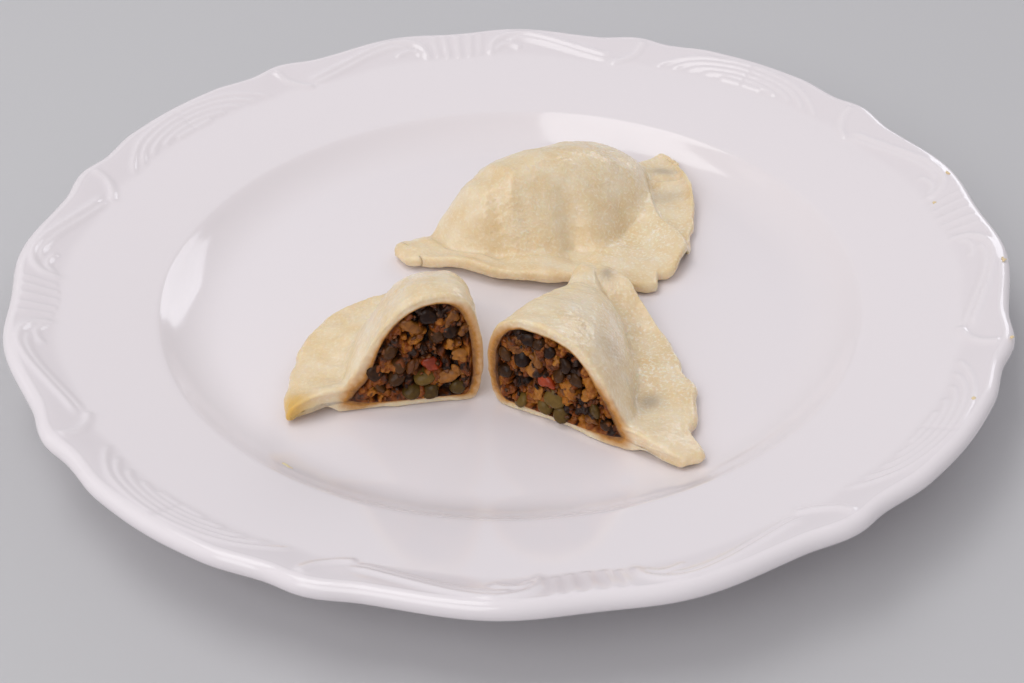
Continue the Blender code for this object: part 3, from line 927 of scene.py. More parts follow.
@dataclass(frozen=True)
class Mark:
    """A bell-shaped oval mark on the upper skin, turned by an angle in degrees."""

    along: float
    across: float
    length: float
    width: float
    amount: float              # metres deep for a finger press, else a strength
    turn: float = 0.0
    lift: float = 0.0          # how far the skin stands up over it

    def at(self, along: Array, across: Array) -> Array:
        """The mark's share, exp(-x^2 - y^2) on its own two axes, 1 at its middle.

        Args:
            along: Places along the fold.
            across: Places across it.

        Returns:
            The share at each place.
        """
        turn = np.radians(self.turn)
        shift_along, shift_across = along - self.along, across - self.across
        first = (shift_along * np.cos(turn) + shift_across * np.sin(turn)) / self.length
        second = (shift_across * np.cos(turn) - shift_along * np.sin(turn)) / self.width
        return np.exp(-first ** 2 - second ** 2)


@dataclass(frozen=True)
class Lobe:
    """A bulge (or notch, if negative) of the sealed edge."""

    along: float
    spread: float
    size: float


@dataclass(frozen=True)
class Crease:
    """A fold line of the upper skin, through points (along, across) in mm."""

    line: tuple[tuple[float, float], ...]
    width: float
    depth: float
    lip: float = 0.0           # height of the swelling beside the line


@dataclass(frozen=True)
class Ledge:
    """A step where the belly ends in a cliff and the seal goes on lower down behind it.

    Its line gives the place along the fold for each place across it, both in mm.
    """

    line: tuple[tuple[float, float], ...]
    steep: float               # metres over which the cliff falls
    ridge: float               # height of the seal's crest in front of the line
    width: float               # width of that crest

    def beyond(self, along: Array, across: Array) -> Array:
        """Distance behind the line, negative in front of it."""
        places, stops = np.array(self.line).T * MM
        return 0.85 * (along - np.interp(across, stops, places))


@dataclass(frozen=True)
class HalfMoon:
    """A curve over the fold that falls from 1 at its middle to 0 at each end."""

    far: float                             # from its middle to its far end
    far_powers: tuple[float, float]
    near: float = 1.0                      # the same for the near end, which a half lacks
    near_powers: tuple[float, float] = (1.0, 1.0)
    middle: float = 0.0

    def at(self, along: Array) -> Array:
        """The curve (1 - part^first power)^second power, part being 1 at the end.

        Args:
            along: Places along the fold.

        Returns:
            The curve at each place.
        """
        away = along - self.middle
        part = np.clip(np.where(away < 0.0, -away / self.near, away / self.far), 0.0, 1.0)
        first, second = (np.where(away < 0.0, near, far)
                         for near, far in zip(self.near_powers, self.far_powers))
        return (1.0 - part ** first) ** second


@dataclass(frozen=True)
class Counts:
    """Numbers of steps round a section of the skin, and of stations along it."""

    stations: int
    nose: int = 10
    top: int = 150
    side: int = 30
    base: int = 24
    tip: int = 8


def set_along(along: Array, sections: Array) -> Array:
    """Put each section at its place along the fold.

    Args:
        along: The places, (n).
        sections: Points (across, up) of each section, (n, points, 2).

    Returns:
        Points (along, across, up), (n, points, 3).
    """
    first = np.repeat(along[:, None, None], sections.shape[1], axis=1)
    return np.concatenate([first, sections], axis=2)


@dataclass(frozen=True)
class Pierog:
    """A half-moon dumpling: a loft of closed sections that stand across its fold."""

    name: str
    origin: tuple[float, float]            # middle of the fold, on the plate
    bearing: float                         # degrees, direction of the fold
    depth: float                           # from the fold to the sealed edge
    outline: HalfMoon                      # shape of the sealed edge
    belly_depth: float                     # from the fold to the belly's foot
    foot: HalfMoon                         # shape of the belly's foot
    height: float
    arch: HalfMoon                         # shape of the belly's crest
    crest: float                           # from the fold to the crest
    end_crest: float
    slope: tuple[float, float]             # powers of the belly's slope down to the seal
    counts: Counts
    bulge: float = 0.001
    waist: float = 0.010
    corner: float = 0.6
    side_power: float = 0.9
    seal: float = 0.0038                   # thickness of the seal
    cap: float = 0.0019                    # length of the rounding at the far tip
    near_cap: float = 0.0040
    side: int = -1                         # the seal lies right (-1) or left (1) of the fold
    lifts: tuple[Lift, ...] = ()
    presses: tuple[Mark, ...] = ()         # finger presses
    ledge: Ledge | None = None
    hook: float = 0.0                      # how far the fold bends sideways at its far tip
    near_hook: float = 0.0                 # the same at its near tip
    rise: float = 0.0                      # how far the far tip lies up on its neighbour
    lean: float = 0.0                      # how far the seal's cut end sags forward
    lobes: tuple[Lobe, ...] = ()
    creases: tuple[Crease, ...] = ()
    spots: tuple[Mark, ...] = ()           # dark lentils that show through the skin
    tans: tuple[Mark, ...] = ()            # yellower dough
    coarse: tuple[Mark, ...] = ()          # coarser skin, whose bumps also get painted glints
    blend: float = 0.0014                  # softness of the crease at the belly's foot
    gap: float = 0.0003                    # between the dumpling and the plate
    bend_start: float = 0.6                # share of the fold where its tips start to bend
    sag_start: float = 0.72                # share of the depth where the cut end starts to sag
    rise_run: tuple[float, float] = (0.74, 0.19)   # share of the fold where it rises, and how fast
    seed: int = 1

    # ---- outline ----
    def sealed_edge(self, along: Array) -> Array:
        """Distance of the sealed edge from the fold: the outline, its lobes, small waves.

        Args:
            along: Places along the fold.

        Returns:
            The distance in metres.
        """
        edge = self.depth * self.outline.at(along)
        for lobe in self.lobes:
            edge = edge + lobe.size * bell(along - lobe.along, lobe.spread)
        line = np.stack([along, 0.0 * along, 0.0 * along], axis=-1)
        waves = Ripples(0.0065, 0.00022, self.seed + 40).at(line)
        return np.maximum(edge + waves, self.seal * 0.6)

    # ---- upper skin ----
    def seal_middle(self, along: Array, across: Array) -> Array:
        """Height of the middle of the seal, which lies on the plate or is lifted off it.

        Args:
            along: Places along the fold.
            across: Places across it.

        Returns:
            The height above the plate.
        """
        foot = self.belly_depth * self.foot.at(along)
        edge = self.sealed_edge(along)
        outward = np.clip((across - foot) / np.maximum(edge - foot, 1e-5), 0.0, 1.0)
        bearing = np.degrees(np.arctan2(across, along))
        height = self.seal / 2.0 + 0.0 * across
        for lift in self.lifts:
            rise = lift.at_foot + (lift.at_edge - lift.at_foot) * outward ** lift.bend
            height = height + bell(bearing - lift.bearing, lift.spread) * rise
        if self.ledge is not None:
            beyond = self.ledge.beyond(along, across)
            front = 1.0 - smooth_step(beyond / self.ledge.steep)
            crest = self.ledge.ridge * smooth_step((across - 0.010) / 0.012)
            height = height + crest * front * bell(beyond, self.ledge.width)
        return height

    def hollows(self, along: Array, across: Array) -> Array:
        """How far finger presses and creases push the upper skin down.

        Args:
            along: Places along the fold.
            across: Places across it.

        Returns:
            The depth, negative where the skin swells beside a crease.
        """
        depth = 0.0 * along
        for press in self.presses:
            depth = depth + press.amount * press.at(along, across)
        for crease in self.creases:
            line = rounded_chain(np.array(crease.line) * MM, 24)
            distance, place = nearest_on_line(along, across, line)
            fade = smooth_step(np.minimum(place, 1.0 - place) / 0.2)
            valley = crease.depth * bell(distance, crease.width)
            swelling = crease.lip * bell(distance - 2.0 * crease.width, 0.9 * crease.width)
            depth = depth + fade * (valley - swelling)
        return depth

    def upper_skin(self, along: Array, across: Array, crest: Array, foot: Array,
                   thick: Array) -> tuple[Array, Array]:
        """Height of the top, which is the larger of the belly's slope and the seal.

        The belly's slope is height * (1 - x^n)^m, with x from 0 at the crest to 1 at the
        foot; the presses and creases are taken off it.

        Args:
            along: Place along the fold.
            across: Place across it.
            crest: Place of the crest across the fold.
            foot: Place of the belly's foot across the fold.
            thick: Half the seal's thickness at each point.

        Returns:
            The height of the top, and the height of the top of the seal alone.
        """
        bend, fall = self.slope
        part = np.clip((across - crest) / (foot - crest), 0.0, 1.0)
        along = along + 0.0 * across
        middle = self.seal_middle(along, across)
        belly = self.height * self.arch.at(along) * (1.0 - part ** bend) ** fall
        if self.ledge is not None:
            beyond = self.ledge.beyond(along, across)
            belly = belly * (1.0 - smooth_step(beyond / self.ledge.steep))
        flat = middle + thick
        skin = smooth_max(belly, flat, self.blend) - self.blend * np.exp(-np.abs(flat) / self.blend)
        pressed = skin - self.hollows(along, across)
        return smooth_max(pressed, middle + 0.4 * thick, 0.0006), flat

    # ---- sections ----
    def fold_side(self, crest: Array, peak: Array, fold: Array, count: int,
                  floor: float = 0.0, widest: Array | float = np.inf) -> tuple[Array, Array]:
        """The side at the fold: it swells from the crest to the waist, then tucks under.

        Above the waist it is a quarter of an oval, (sin t)^n across and (cos t)^n up;
        below it a quarter of an ellipse as wide as the corner.

        Args:
            crest: Place of the crest across the fold.
            peak: Height of the crest.
            fold: Place of the waist across the fold.
            count: Steps of each quarter.
            floor: Height of the bottom.
            widest: The corner's largest width.

        Returns:
            Points (across, up) of each section, (n, points, 2), and the place where
            the side reaches the bottom.
        """
        waist = np.minimum(self.waist, 0.5 * peak)
        turn = np.linspace(0.0, np.pi / 2.0, count + 1)[None, 1:]
        upper = np.stack([crest - (crest - fold) * np.sin(turn) ** self.side_power,
                          waist + (peak - waist) * np.cos(turn) ** self.side_power], axis=2)
        corner = np.minimum(self.corner * (waist - floor), widest)
        lower = np.stack([fold + corner * (1.0 - np.cos(turn)),
                          floor + (waist - floor) * (1.0 - np.sin(turn))], axis=2)
        return np.concatenate([upper, lower], axis=1), fold + corner

    def sections(self, along: Array) -> Array:
        """Closed sections of the skin.

        Each runs from the sealed edge's nose over the top to the crest, round the fold
        side, and back under the dumpling.

        Args:
            along: Stations, (n).

        Returns:
            Points (across, up) of each section, (n, points, 2).
        """
        counts = self.counts
        along = along[:, None]
        nose = self.seal / 2.0
        edge = self.sealed_edge(along)
        share = self.arch.at(along)
        fold = np.minimum(-self.bulge * share, edge - self.seal)
        crest = fold + self.end_crest + (self.crest - self.end_crest) * share
        crest = np.minimum(crest, 0.5 * (fold + edge))
        foot = np.maximum(self.belly_depth * self.foot.at(along), crest + 0.002)

        turn = np.linspace(0.0, np.pi / 2.0, counts.nose + 1)[None, :]
        run = np.linspace(0.0, 1.0, counts.top + 1)[None, 1:]
        across = np.concatenate([edge - nose + nose * np.cos(turn),
                                 edge - nose + (crest - edge + nose) * run], axis=1)
        thick = np.concatenate([nose * np.sin(turn), np.full_like(run, nose)], axis=1)
        skin, flat = self.upper_skin(along, across, crest, foot, thick)
        inside = smooth_step((edge - across) / self.seal)
        top = np.stack([across, flat + (skin - flat) * inside], axis=2)

        side, start = self.fold_side(crest, top[:, -1:, 1], fold, counts.side,
                                     widest=0.3 * (edge - fold))
        run = np.linspace(0.0, 1.0, counts.base + 1)[None, 1:]
        under = start + (edge - nose - start) * run
        middle = self.seal_middle(along + 0.0 * under, under)
        width = np.clip(0.7 * (edge - nose - foot), 0.001, 0.006)
        rise = smooth_step((under - foot + 0.002) / width)
        base = np.stack([under, np.maximum(middle - nose, 0.0) * rise], axis=2)
        turn = np.linspace(-np.pi / 2.0, 0.0, counts.nose + 1)[None, 1:-1]
        under = edge - nose + nose * np.cos(turn)
        middle = self.seal_middle(along + 0.0 * under, under)
        rim = np.stack([under, middle + nose * np.sin(turn)], axis=2)
        return np.concatenate([top, side, base, rim], axis=1)

    def tip(self, section: Array, start: float, cap: float) -> tuple[Array, Array]:
        """Round off an end: the last section shrinks to its middle over a quarter turn.

        Args:
            section: The last section, (points, 2).
            start: Its place along the fold.
            cap: How far the end goes on from there, negative for the near end.

        Returns:
            The added sections and their places, from the section outwards.
        """
        middle = 0.5 * (section.min(axis=0) + section.max(axis=0))
        turn = 0.5 * np.pi * np.arange(1, self.counts.tip + 1) / self.counts.tip
        shrink = np.maximum(np.cos(turn), 2e-3)[:, None, None]
        return (middle + (section - middle) * shrink,
                start + cap * np.sin(turn))

    def loft(self) -> Array:
        """The smooth skin: its sections, and the rounding of both ends.

        Returns:
            Points along, across and up, (stations, points, 3).
        """
        turn = np.linspace(-np.pi / 2.0, np.pi / 2.0, self.counts.stations)
        near = self.outline.near - self.near_cap
        along = np.where(turn < 0.0, near, self.outline.far - self.cap) * np.sin(turn)
        sections = self.sections(along)
        after, places = self.tip(sections[-1], along[-1], self.cap)
        before, starts = self.tip(sections[0], along[0], -self.near_cap)
        sections = np.concatenate([before[::-1], sections, after])
        along = np.concatenate([starts[::-1], along, places])
        return set_along(along, sections)

    def skin(self) -> Array:
        """The skin with its lumps: the loft moved along its normals by soft ripples.

        Returns:
            Points along, across and up, (stations, points, 3).
        """
        grid = self.loft()
        normals = grid_normals(grid)
        lumps = (Ripples(0.016, 0.00018, self.seed).at(grid)
                 + Ripples(0.0055, 0.00007, self.seed + 1).at(grid)
                 + Ripples(0.0021, 0.00003, self.seed + 2).at(grid)
                 + Ripples(0.0012, 0.000014, self.seed + 3).at(grid))
        for spot in self.spots:
            on_top = smooth_step(normals[..., 2] / 0.3)
            lumps = lumps + spot.lift * on_top * spot.at(grid[..., 0], grid[..., 1])
        grid = grid + normals * lumps[..., None]
        grid[..., 2] = np.maximum(grid[..., 2], 0.0)
        return grid

    def masks(self, grid: Array) -> dict[str, Array]:
        """The numbers that the dough's finish reads, for each point of the skin.

        Args:
            grid: Points along, across and up, (rows, columns, 3).

        Returns:
            Arrays named stain, shade, tan and rough, (rows, columns).
        """
        along, across, up = grid[..., 0], grid[..., 1], grid[..., 2]
        on_top = smooth_step(grid_normals(grid)[..., 2] / 0.4 + 0.2)
        edge = self.sealed_edge(along)
        shade, tan, rough = 0.0 * along, 0.0 * along, 0.35 + 0.0 * along
        for spot in self.spots:
            shade = shade + spot.amount * on_top * spot.at(along, across)
        for spot in self.tans:
            tan = tan + spot.amount * spot.at(along, across)
        for spot in self.coarse:
            rough = rough + spot.amount * spot.at(along, across)
        thin = smooth_step((across - edge + 0.006) / 0.006) * smooth_step((0.012 - up) / 0.004)
        return {"stain": 0.0 * along, "shade": np.clip(shade, 0.0, 1.0),
                "tan": np.clip(tan + 0.15 * thin, 0.0, 1.0), "rough": np.clip(rough, 0.0, 1.0)}

    def heading(self) -> tuple[Array, Array]:
        """The world's directions along the fold and across it.

        Returns:
            Two unit vectors.
        """
        turn = np.radians(self.bearing)
        return (np.array([np.cos(turn), np.sin(turn), 0.0]),
                self.side * np.array([-np.sin(turn), np.cos(turn), 0.0]))

    def place(self, grid: Array) -> Array:
        """Turn along, across and up into world coordinates, standing on the plate.

        Args:
            grid: Points along, across and up, (..., 3).

        Returns:
            The same points in the world.
        """
        forward, sideways = (axis[:2] for axis in self.heading())
        along, across = grid[..., :1], grid[..., 1:2]
        far, near = along / self.outline.far, -along / self.outline.near
        bent = (across + self.hook * late_step(far, self.bend_start)
                + self.near_hook * late_step(near, self.bend_start))
        sagged = along - self.lean * (late_step(across / self.depth, self.sag_start)
                                      * (1.0 - smooth_step(along / 0.02)))
        flat = np.array(self.origin) + sagged * forward + bent * sideways
        ground = PLATE.well(np.linalg.norm(flat, axis=-1, keepdims=True)) + self.gap
        start, run = self.rise_run
        raised = self.rise * smooth_step((far - start) / run)
        return np.concatenate([flat, grid[..., 2:] + raised + ground], axis=-1)

    def direction(self, local: Array) -> Array:
        """Turn directions from along, across and up into the world's.

        Args:
            local: Directions, (..., 3).

        Returns:
            The same directions in the world.
        """
        forward, sideways = self.heading()
        return (local[..., :1] * forward + local[..., 1:2] * sideways
                + local[..., 2:] * np.array([0.0, 0.0, 1.0]))

    def build(self, dough: Material) -> Item:
        """Make the whole dumpling's skin.

        Args:
            dough: Its finish.

        Returns:
            The piece.
        """
        grid = self.skin()
        mesh = tube_mesh(self.name + "_dumpling", self.place(grid), self.masks(grid),
                         turned=self.side < 0)
        return add_piece(mesh, [dough], (self.name,))


# ---------------------------------------------------------------- cut halves
class Kind(Enum):
    """What a morsel of the filling is."""

    DARK_LENTIL = "dark_lentils"
    GREEN_LENTIL = "green_lentils"
    ONION = "onion_morsels"
    PEPPER = "pepper_bits"
    CRUMB = "mash_crumbs"


@dataclass(frozen=True)
class Morsel:
    """One piece of the filling at the cut (sizes in mm, angles in degrees)."""

    kind: Kind
    across: float
    up: float
    size: float                # longest radius
    tilt: float = 20.0         # from face-on to the cut (0) to edge-on (90)
    turn: float = 0.0          # direction in which it tilts, from the fold's side upwards
    show: float = 0.6          # share of it that stands out of the cut
    tone: float = 0.5


def morsels_of(kind: Kind, *rows: tuple[float, ...]) -> tuple[Morsel, ...]:
    """Morsels of one kind, from rows of (across, up, size, tilt, turn, show, tone)."""
    return tuple(Morsel(kind, *row) for row in rows)


@dataclass(frozen=True)
class CutPierog(Pierog):
    """The half of a dumpling behind a knife cut, with its filling in view."""

    dough_wall: float = 0.0027
    dough_base: float = 0.0023
    pinch: tuple[float, float, float] = (0.0, 0.001, 0.0)   # thicker dough: across, width, depth
    edge_round: float = 0.0008             # the cut's outer edge is rounded over
    # where the two sheets of dough meet: its distance from the foot in walls, at the cut
    # and added behind it, and its height above the bottom sheet
    meeting: tuple[float, float] = (1.45, 0.8)
    meeting_height: float = 0.0015
    filling_reach: float = 0.78            # share of the belly's length that is filled
    soak: float = 0.00045                  # how deep the juice soaks in at the top of the cut
    soak_side: float = 0.0015              # the same, added at the fold side
    soak_tail: float = 0.0027              # the same, added where the two sheets meet
    soak_base: float = 0.0001              # the same, added along the bottom
    morsels: tuple[Morsel, ...] = ()
    gaps: tuple[tuple[float, float, float], ...] = ()   # across, up, radius in mm
    stain_strength: float = 1.05
    lump_count: int = 520
    lump_radii: tuple[float, float] = (0.45, 1.25)      # mm: the least, and how much is added
    lump_lifts: tuple[float, float] = (-1.9, -0.9)      # mm, from lowest to highest
    face_floor: float = -0.0030            # the mash between its lumps, behind the cut
    face_lift: float = 0.0006              # how far the whole face is brought forward
    gap_depth: float = 0.0026
    border: float = -0.0010                # the mash along the dough, behind the cut
    border_rise: float = 0.0014            # how much further forward it is at the bottom
    lentil_count: int = 1
    onion_count: int = 3
    crumb_count: int = 50

    def hollow(self, along: Array) -> Array:
        """Closed sections of the hollow that holds the filling.

        They follow the belly one wall further in, from the point where the two sheets
        of dough meet, over the crest, down the fold side and back along the bottom.

        Args:
            along: Stations, (n).

        Returns:
            Points (across, up) of each section, (n, points, 2).
        """
        top_count, side_count, base_count = 120, 40, 60
        along = along[:, None]
        wall, floor = self.dough_wall, self.dough_base
        share = self.arch.at(along)
        outer_height = self.height * share
        fold = wall - self.bulge * share
        crest = self.end_crest + (self.crest - self.end_crest) * share - self.bulge * share
        foot = self.belly_depth * self.foot.at(along)
        at_cut, behind = self.meeting
        tip = foot - wall * (at_cut + behind * smooth_step(along / 0.010))
        tip_height = floor + self.meeting_height
        bend, fall = self.slope
        run = np.linspace(0.0, 1.0, top_count + 1)[None, :]
        across = tip + (crest - tip) * run
        rise = (1.0 - (1.0 - run) ** bend) ** fall
        skin, _ = self.upper_skin(along, across, crest, foot, self.seal / 2.0 + 0.0 * across)
        across_pinch, pinch_width, pinch_depth = self.pinch
        roof = (tip_height + (outer_height - wall - tip_height) * rise
                - pinch_depth * bell(across - across_pinch, pinch_width))
        roof = np.clip(roof, tip_height, np.maximum(skin - wall, tip_height))
        top = np.stack([across, roof], axis=2)
        side, start = self.fold_side(crest, top[:, -1:, 1], fold, side_count, floor)
        run = np.linspace(0.0, 1.0, base_count + 1)[None, 1:-1]
        base = np.stack([start + (tip - start) * run,
                         floor + (tip_height - floor) * run ** 6 + 0.0 * along], axis=2)
        return np.concatenate([top, side, base], axis=1)

    def hollow_loft(self, count: int) -> Array:
        """The hollow's rings, shrinking to their middle away from the cut.

        Args:
            count: Number of stations.

        Returns:
            Points along, across and up, (count, points, 3).
        """
        turn = np.linspace(0.0, 1.0, count) * np.pi / 2.0
        along = self.filling_reach * self.arch.far * np.sin(turn)
        sections = self.hollow(along)
        middle = 0.5 * (sections.min(axis=1, keepdims=True) + sections.max(axis=1, keepdims=True))
        shrink = np.maximum(np.cos(turn) ** 0.8, 4e-3)[:, None, None]
        sections = middle + (sections - middle) * shrink
        return set_along(along, sections)

    def loft(self) -> Array:
        """The skin behind the cut, with the cut's outer edge rounded over.

        Returns:
            Points along, across and up, (stations, points, 3).
        """
        reach = self.outline.far - self.cap
        turn = np.linspace(0.0, np.pi / 2.0, 7)[:-1]
        rounding = self.edge_round * (1.0 - np.cos(turn))
        even = np.linspace(0.0, 1.0, self.counts.stations)
        spread = even + (np.sin(even * np.pi / 2.0) - even) * even
        along = np.concatenate([rounding, self.edge_round + (reach - self.edge_round) * spread])
        sections = self.sections(along)
        after, places = self.tip(sections[-1], along[-1], self.cap)
        sections, along = np.concatenate([sections, after]), np.concatenate([along, places])
        grid = set_along(along, sections)
        left = np.clip(1.0 - along / self.edge_round, 0.0, 1.0)
        inset = self.edge_round * (1.0 - np.sqrt(1.0 - left ** 2))
        ring_normals = grid_normals(grid)
        ring_normals[..., 0] = 0.0
        return grid - ring_normals * inset[:, None, None]

    @staticmethod
    def matched(outer: Array, inner: Array) -> Array:
        """For each point of the outer ring, the place of its partner on the inner ring.

        The partner is the nearest point, kept in order round the ring and spread a
        little so that no two points share one.

        Args:
            outer: The outer ring, (points, 2).
            inner: The inner ring, (count, 2).

        Returns:
            One place on the inner ring for each outer point.
        """
        distance = np.linalg.norm(outer[:, None, :] - inner[None, :, :], axis=2)
        nearest = distance.argmin(axis=1).astype(float)
        count, half = len(inner), len(outer) // 2
        late = np.arange(len(outer)) > half
        nearest[late & (nearest < 0.25 * count)] = count - 1.0
        nearest[~late & (nearest > 0.75 * count)] = 0.0
        ordered = np.maximum.accumulate(nearest)
        even = np.linspace(0.0, count - 1.0, len(outer))
        smooth = np.convolve(np.pad(ordered, 6, mode="edge"), np.ones(13) / 13.0, mode="valid")
        return 0.94 * smooth + 0.06 * even

    @staticmethod
    def sampled(rings: Array, places: Array) -> Array:
        """Points of closed rings at some places, by straight runs between neighbours.

        Args:
            rings: Rings of points, (rows, columns, 3).
            places: Places round a ring, in columns.

        Returns:
            Points, (rows, places, 3).
        """
        low = np.floor(places).astype(int)
        part = (places - low)[None, :, None]
        count = rings.shape[1]
        return rings[:, low % count] * (1.0 - part) + rings[:, (low + 1) % count] * part

    def dough(self) -> tuple[Array, dict[str, Array]]:
        """The dough as one grid: the hollow from its end, the cut ring, then the skin.

        Returns:
            The grid in along, across and up, and the numbers for its finish.
        """
        skin = self.skin()
        hollow = self.hollow_loft(12)
        places = self.matched(skin[0, :, 1:], hollow[0, :, 1:])
        inside = self.sampled(hollow, places)
        share = np.linspace(0.0, 1.0, 16)[1:-1, None, None]
        ring = inside[:1] * (1.0 - share) + skin[:1] * share
        ring[..., 0] += Ripples(0.004, 0.00007, self.seed + 5).at(ring)
        grid = np.concatenate([inside[::-1], ring, skin])
        values = self.masks(grid)
        values["stain"] = self.stain(grid, hollow[0, :, 1:], len(inside))
        return grid, values

    def stain(self, grid: Array, opening: Array, inner_rows: int) -> Array:
        """Juice in the dough: 1 at the opening's edge, fading over the soaked depth.

        Args:
            grid: Points of the dough, (rows, columns, 3).
            opening: Ring of the hollow at the cut, (points, 2).
            inner_rows: How many rows lie inside the hollow.

        Returns:
            The stain's strength, (rows, columns).
        """
        across, up = grid[..., 1], grid[..., 2]
        tail = opening[:, 0].max()
        soaked = (self.soak + self.soak_side * bell(across, 0.005)
                  + self.soak_tail * bell(tail - across, 0.006)
                  + self.soak_base * smooth_step((0.006 - up) / 0.004))
        distance, _ = nearest_on_line(across, up, np.concatenate([opening, opening[:1]]))
        deep = np.maximum(grid[..., 0], 0.0)
        value = self.stain_strength * np.exp(-(distance / soaked) ** 1.5) * bell(deep, 0.0012)
        value[:inner_rows] = 1.3
        return value

    # ---- filling ----
    def lumps(self, across: Array, up: Array) -> tuple[Array, Array]:
        """Relief of the lumpy mash: the highest of many round lumps at each point.

        A lump's height is its lift plus root(radius^2 - distance^2). Slow ripples bend
        the lumps out of round.

        Args:
            across: Places across the fold.
            up: Heights above the plate.

        Returns:
            The relief, and the tone of the lump that makes it.
        """
        draw = np.random.default_rng(self.seed + 15)
        room = self.filling_room(-0.4 * MM)
        spots = draw.uniform(room.min(axis=0), room.max(axis=0), (self.lump_count, 2))
        least, added = self.lump_radii
        radii = MM * (least + added * draw.random(self.lump_count) ** 1.8)
        lifts = MM * draw.uniform(*self.lump_lifts, self.lump_count) - 0.4 * radii
        flat = np.stack([spots[:, 0], spots[:, 1], 0.0 * radii], axis=1)
        tones = (0.45 + Ripples(0.0085, 0.26, self.seed + 16).at(flat)
                 + draw.uniform(-0.22, 0.22, self.lump_count))
        place = np.stack([across, up, 0.0 * across], axis=-1)
        x = across + Ripples(0.0022, 0.00022, self.seed + 17).at(place)
        y = up + Ripples(0.0022, 0.00022, self.seed + 18).at(place)
        relief = np.full(across.shape, self.face_floor)
        tone = np.full(across.shape, 0.2)
        for (spot_x, spot_y), radius, lift, own in zip(spots, radii, lifts, tones):
            left = radius ** 2 - (x - spot_x) ** 2 - (y - spot_y) ** 2
            height = np.where(left > 0.0, lift + np.sqrt(np.maximum(left, 0.0)), -1.0)
            tone = np.where(height > relief, own, tone)
            relief = np.maximum(relief, height)
        return relief, tone

    def core(self) -> tuple[Array, dict[str, Array]]:
        """The mash as one grid: its cut face from the middle outwards, then its sides.

        The face's relief is that of its lumps and some ripples, less bell-shaped gaps. It
        settles to an even border along the dough, a little higher near the bottom.

        Returns:
            The grid in along, across and up, and the numbers for its finish: the tone of
            the lump at each point, and light, a painted shade which is 0 in the deep gaps.
        """
        hollow = self.hollow_loft(9)
        rings = self.sampled(hollow, np.linspace(0.0, hollow.shape[1], 420, endpoint=False))
        middle = np.array([0.0, self.crest + 0.002, 0.34 * self.height])
        share = np.linspace(0.01, 1.0, 110)[:, None, None] ** 0.8
        face = middle + (rings[:1] - middle) * share
        relief, tone = self.lumps(face[..., 1], face[..., 2])
        relief = relief + self.face_lift + (Ripples(0.0060, 0.00030, self.seed + 11).at(face)
                                            + Ripples(0.0011, 0.00010, self.seed + 12).at(face))
        for across, up, radius in self.gaps:
            distance = np.hypot(face[..., 1] - across * MM, face[..., 2] - up * MM)
            relief = relief - self.gap_depth * bell(distance, radius * MM)
        border = late_step(share[..., 0], 0.90)
        lip = self.border + self.border_rise * smooth_step((0.006 - face[..., 2]) / 0.003)
        relief = relief * (1.0 - border) + lip * border
        face[..., 0] -= relief
        # painted shade: the further the relief lies behind the cut, the darker the mash is painted;
        # its hidden sides get a light of 0.3
        light = smooth_step((relief + 0.0034) / 0.0026)
        sides = np.full(rings[1:].shape[:2], 0.3)
        return (np.concatenate([face, rings[1:]]),
                {"light": np.concatenate([light, sides]), "tone": np.concatenate([tone, sides])})

    def filling_room(self, margin: float) -> Array:
        """The opening's ring, pulled in towards its middle.

        Args:
            margin: How far it is pulled in.

        Returns:
            The ring, (points, 2).
        """
        ring = self.hollow(np.array([0.0]))[0, ::4]
        middle = np.array([self.crest + 0.002, 0.35 * self.height])
        span = np.linalg.norm(ring - middle, axis=1, keepdims=True)
        return middle + (ring - middle) * (1.0 - margin / span)

    def scattered(self) -> list[Morsel]:
        """Fill the cut between the placed morsels with lentils, onion and crumbs.

        Returns:
            The added morsels.
        """
        draw = np.random.default_rng(self.seed + 20)
        taken = [(m.across, m.up, m.size) for m in self.morsels]
        found: list[Morsel] = []
        ranges = ((Kind.DARK_LENTIL, self.lentil_count, (1.8, 2.5), 0.62, 1.5),
                  (Kind.ONION, self.onion_count, (1.3, 2.4), 0.45, 1.0),
                  (Kind.CRUMB, self.crumb_count, (0.3, 0.75), 0.3, 0.6))
        for kind, count, (small, large), apart, margin in ranges:
            room = self.filling_room(margin * MM)
            low, high = room.min(axis=0) / MM, room.max(axis=0) / MM
            placed = 0
            for _ in range(60 * count):
                if placed == count:
                    break
                spot = draw.uniform(low, high)
                size = draw.uniform(small, large)
                tilt, turn, show, tone = draw.uniform((0, 0, 0.4, 0), (85, 360, 0.8, 1))
                if not inside_ring(spot * MM, room):
                    continue
                if any(np.hypot(spot[0] - x, spot[1] - y) < apart * (size + other)
                       for x, y, other in taken):
                    continue
                if kind is not Kind.CRUMB:
                    taken.append((spot[0], spot[1], size))
                found.append(Morsel(kind, spot[0], spot[1], size, tilt, turn, show, tone))
                placed += 1
        return found

    def build(self, dough: Material) -> Item:
        """Make the half's dough.

        Args:
            dough: Its finish.

        Returns:
            The piece.
        """
        grid, values = self.dough()
        mesh = tube_mesh(self.name + "_shell", self.place(grid), values, turned=self.side < 0)
        return add_piece(mesh, [dough], (self.name + "_dough",))

    def build_mash(self, mash: Material) -> Item:
        """Make the half's mash.

        Args:
            mash: Its finish.

        Returns:
            The piece.
        """
        grid, values = self.core()
        mesh = tube_mesh(self.name + "_mash", self.place(grid), values, turned=self.side < 0)
        return add_piece(mesh, [mash], (self.name + "_filling",))


def inside_ring(point: Array, ring: Array) -> bool:
    """Whether a point lies in a closed ring: a line from it crosses the ring an odd time.

    Args:
        point: Two coordinates.
        ring: The ring's corners, (n, 2).

    Returns:
        True inside the ring.
    """
    x, y = ring[:, 0], ring[:, 1]
    next_x, next_y = np.roll(x, -1), np.roll(y, -1)
    spans = (y > point[1]) != (next_y > point[1])
    run = np.where(spans, next_y - y, 1.0)
    crossing = x + (point[1] - y) * (next_x - x) / run
    return bool(np.count_nonzero(spans & (crossing > point[0])) % 2)


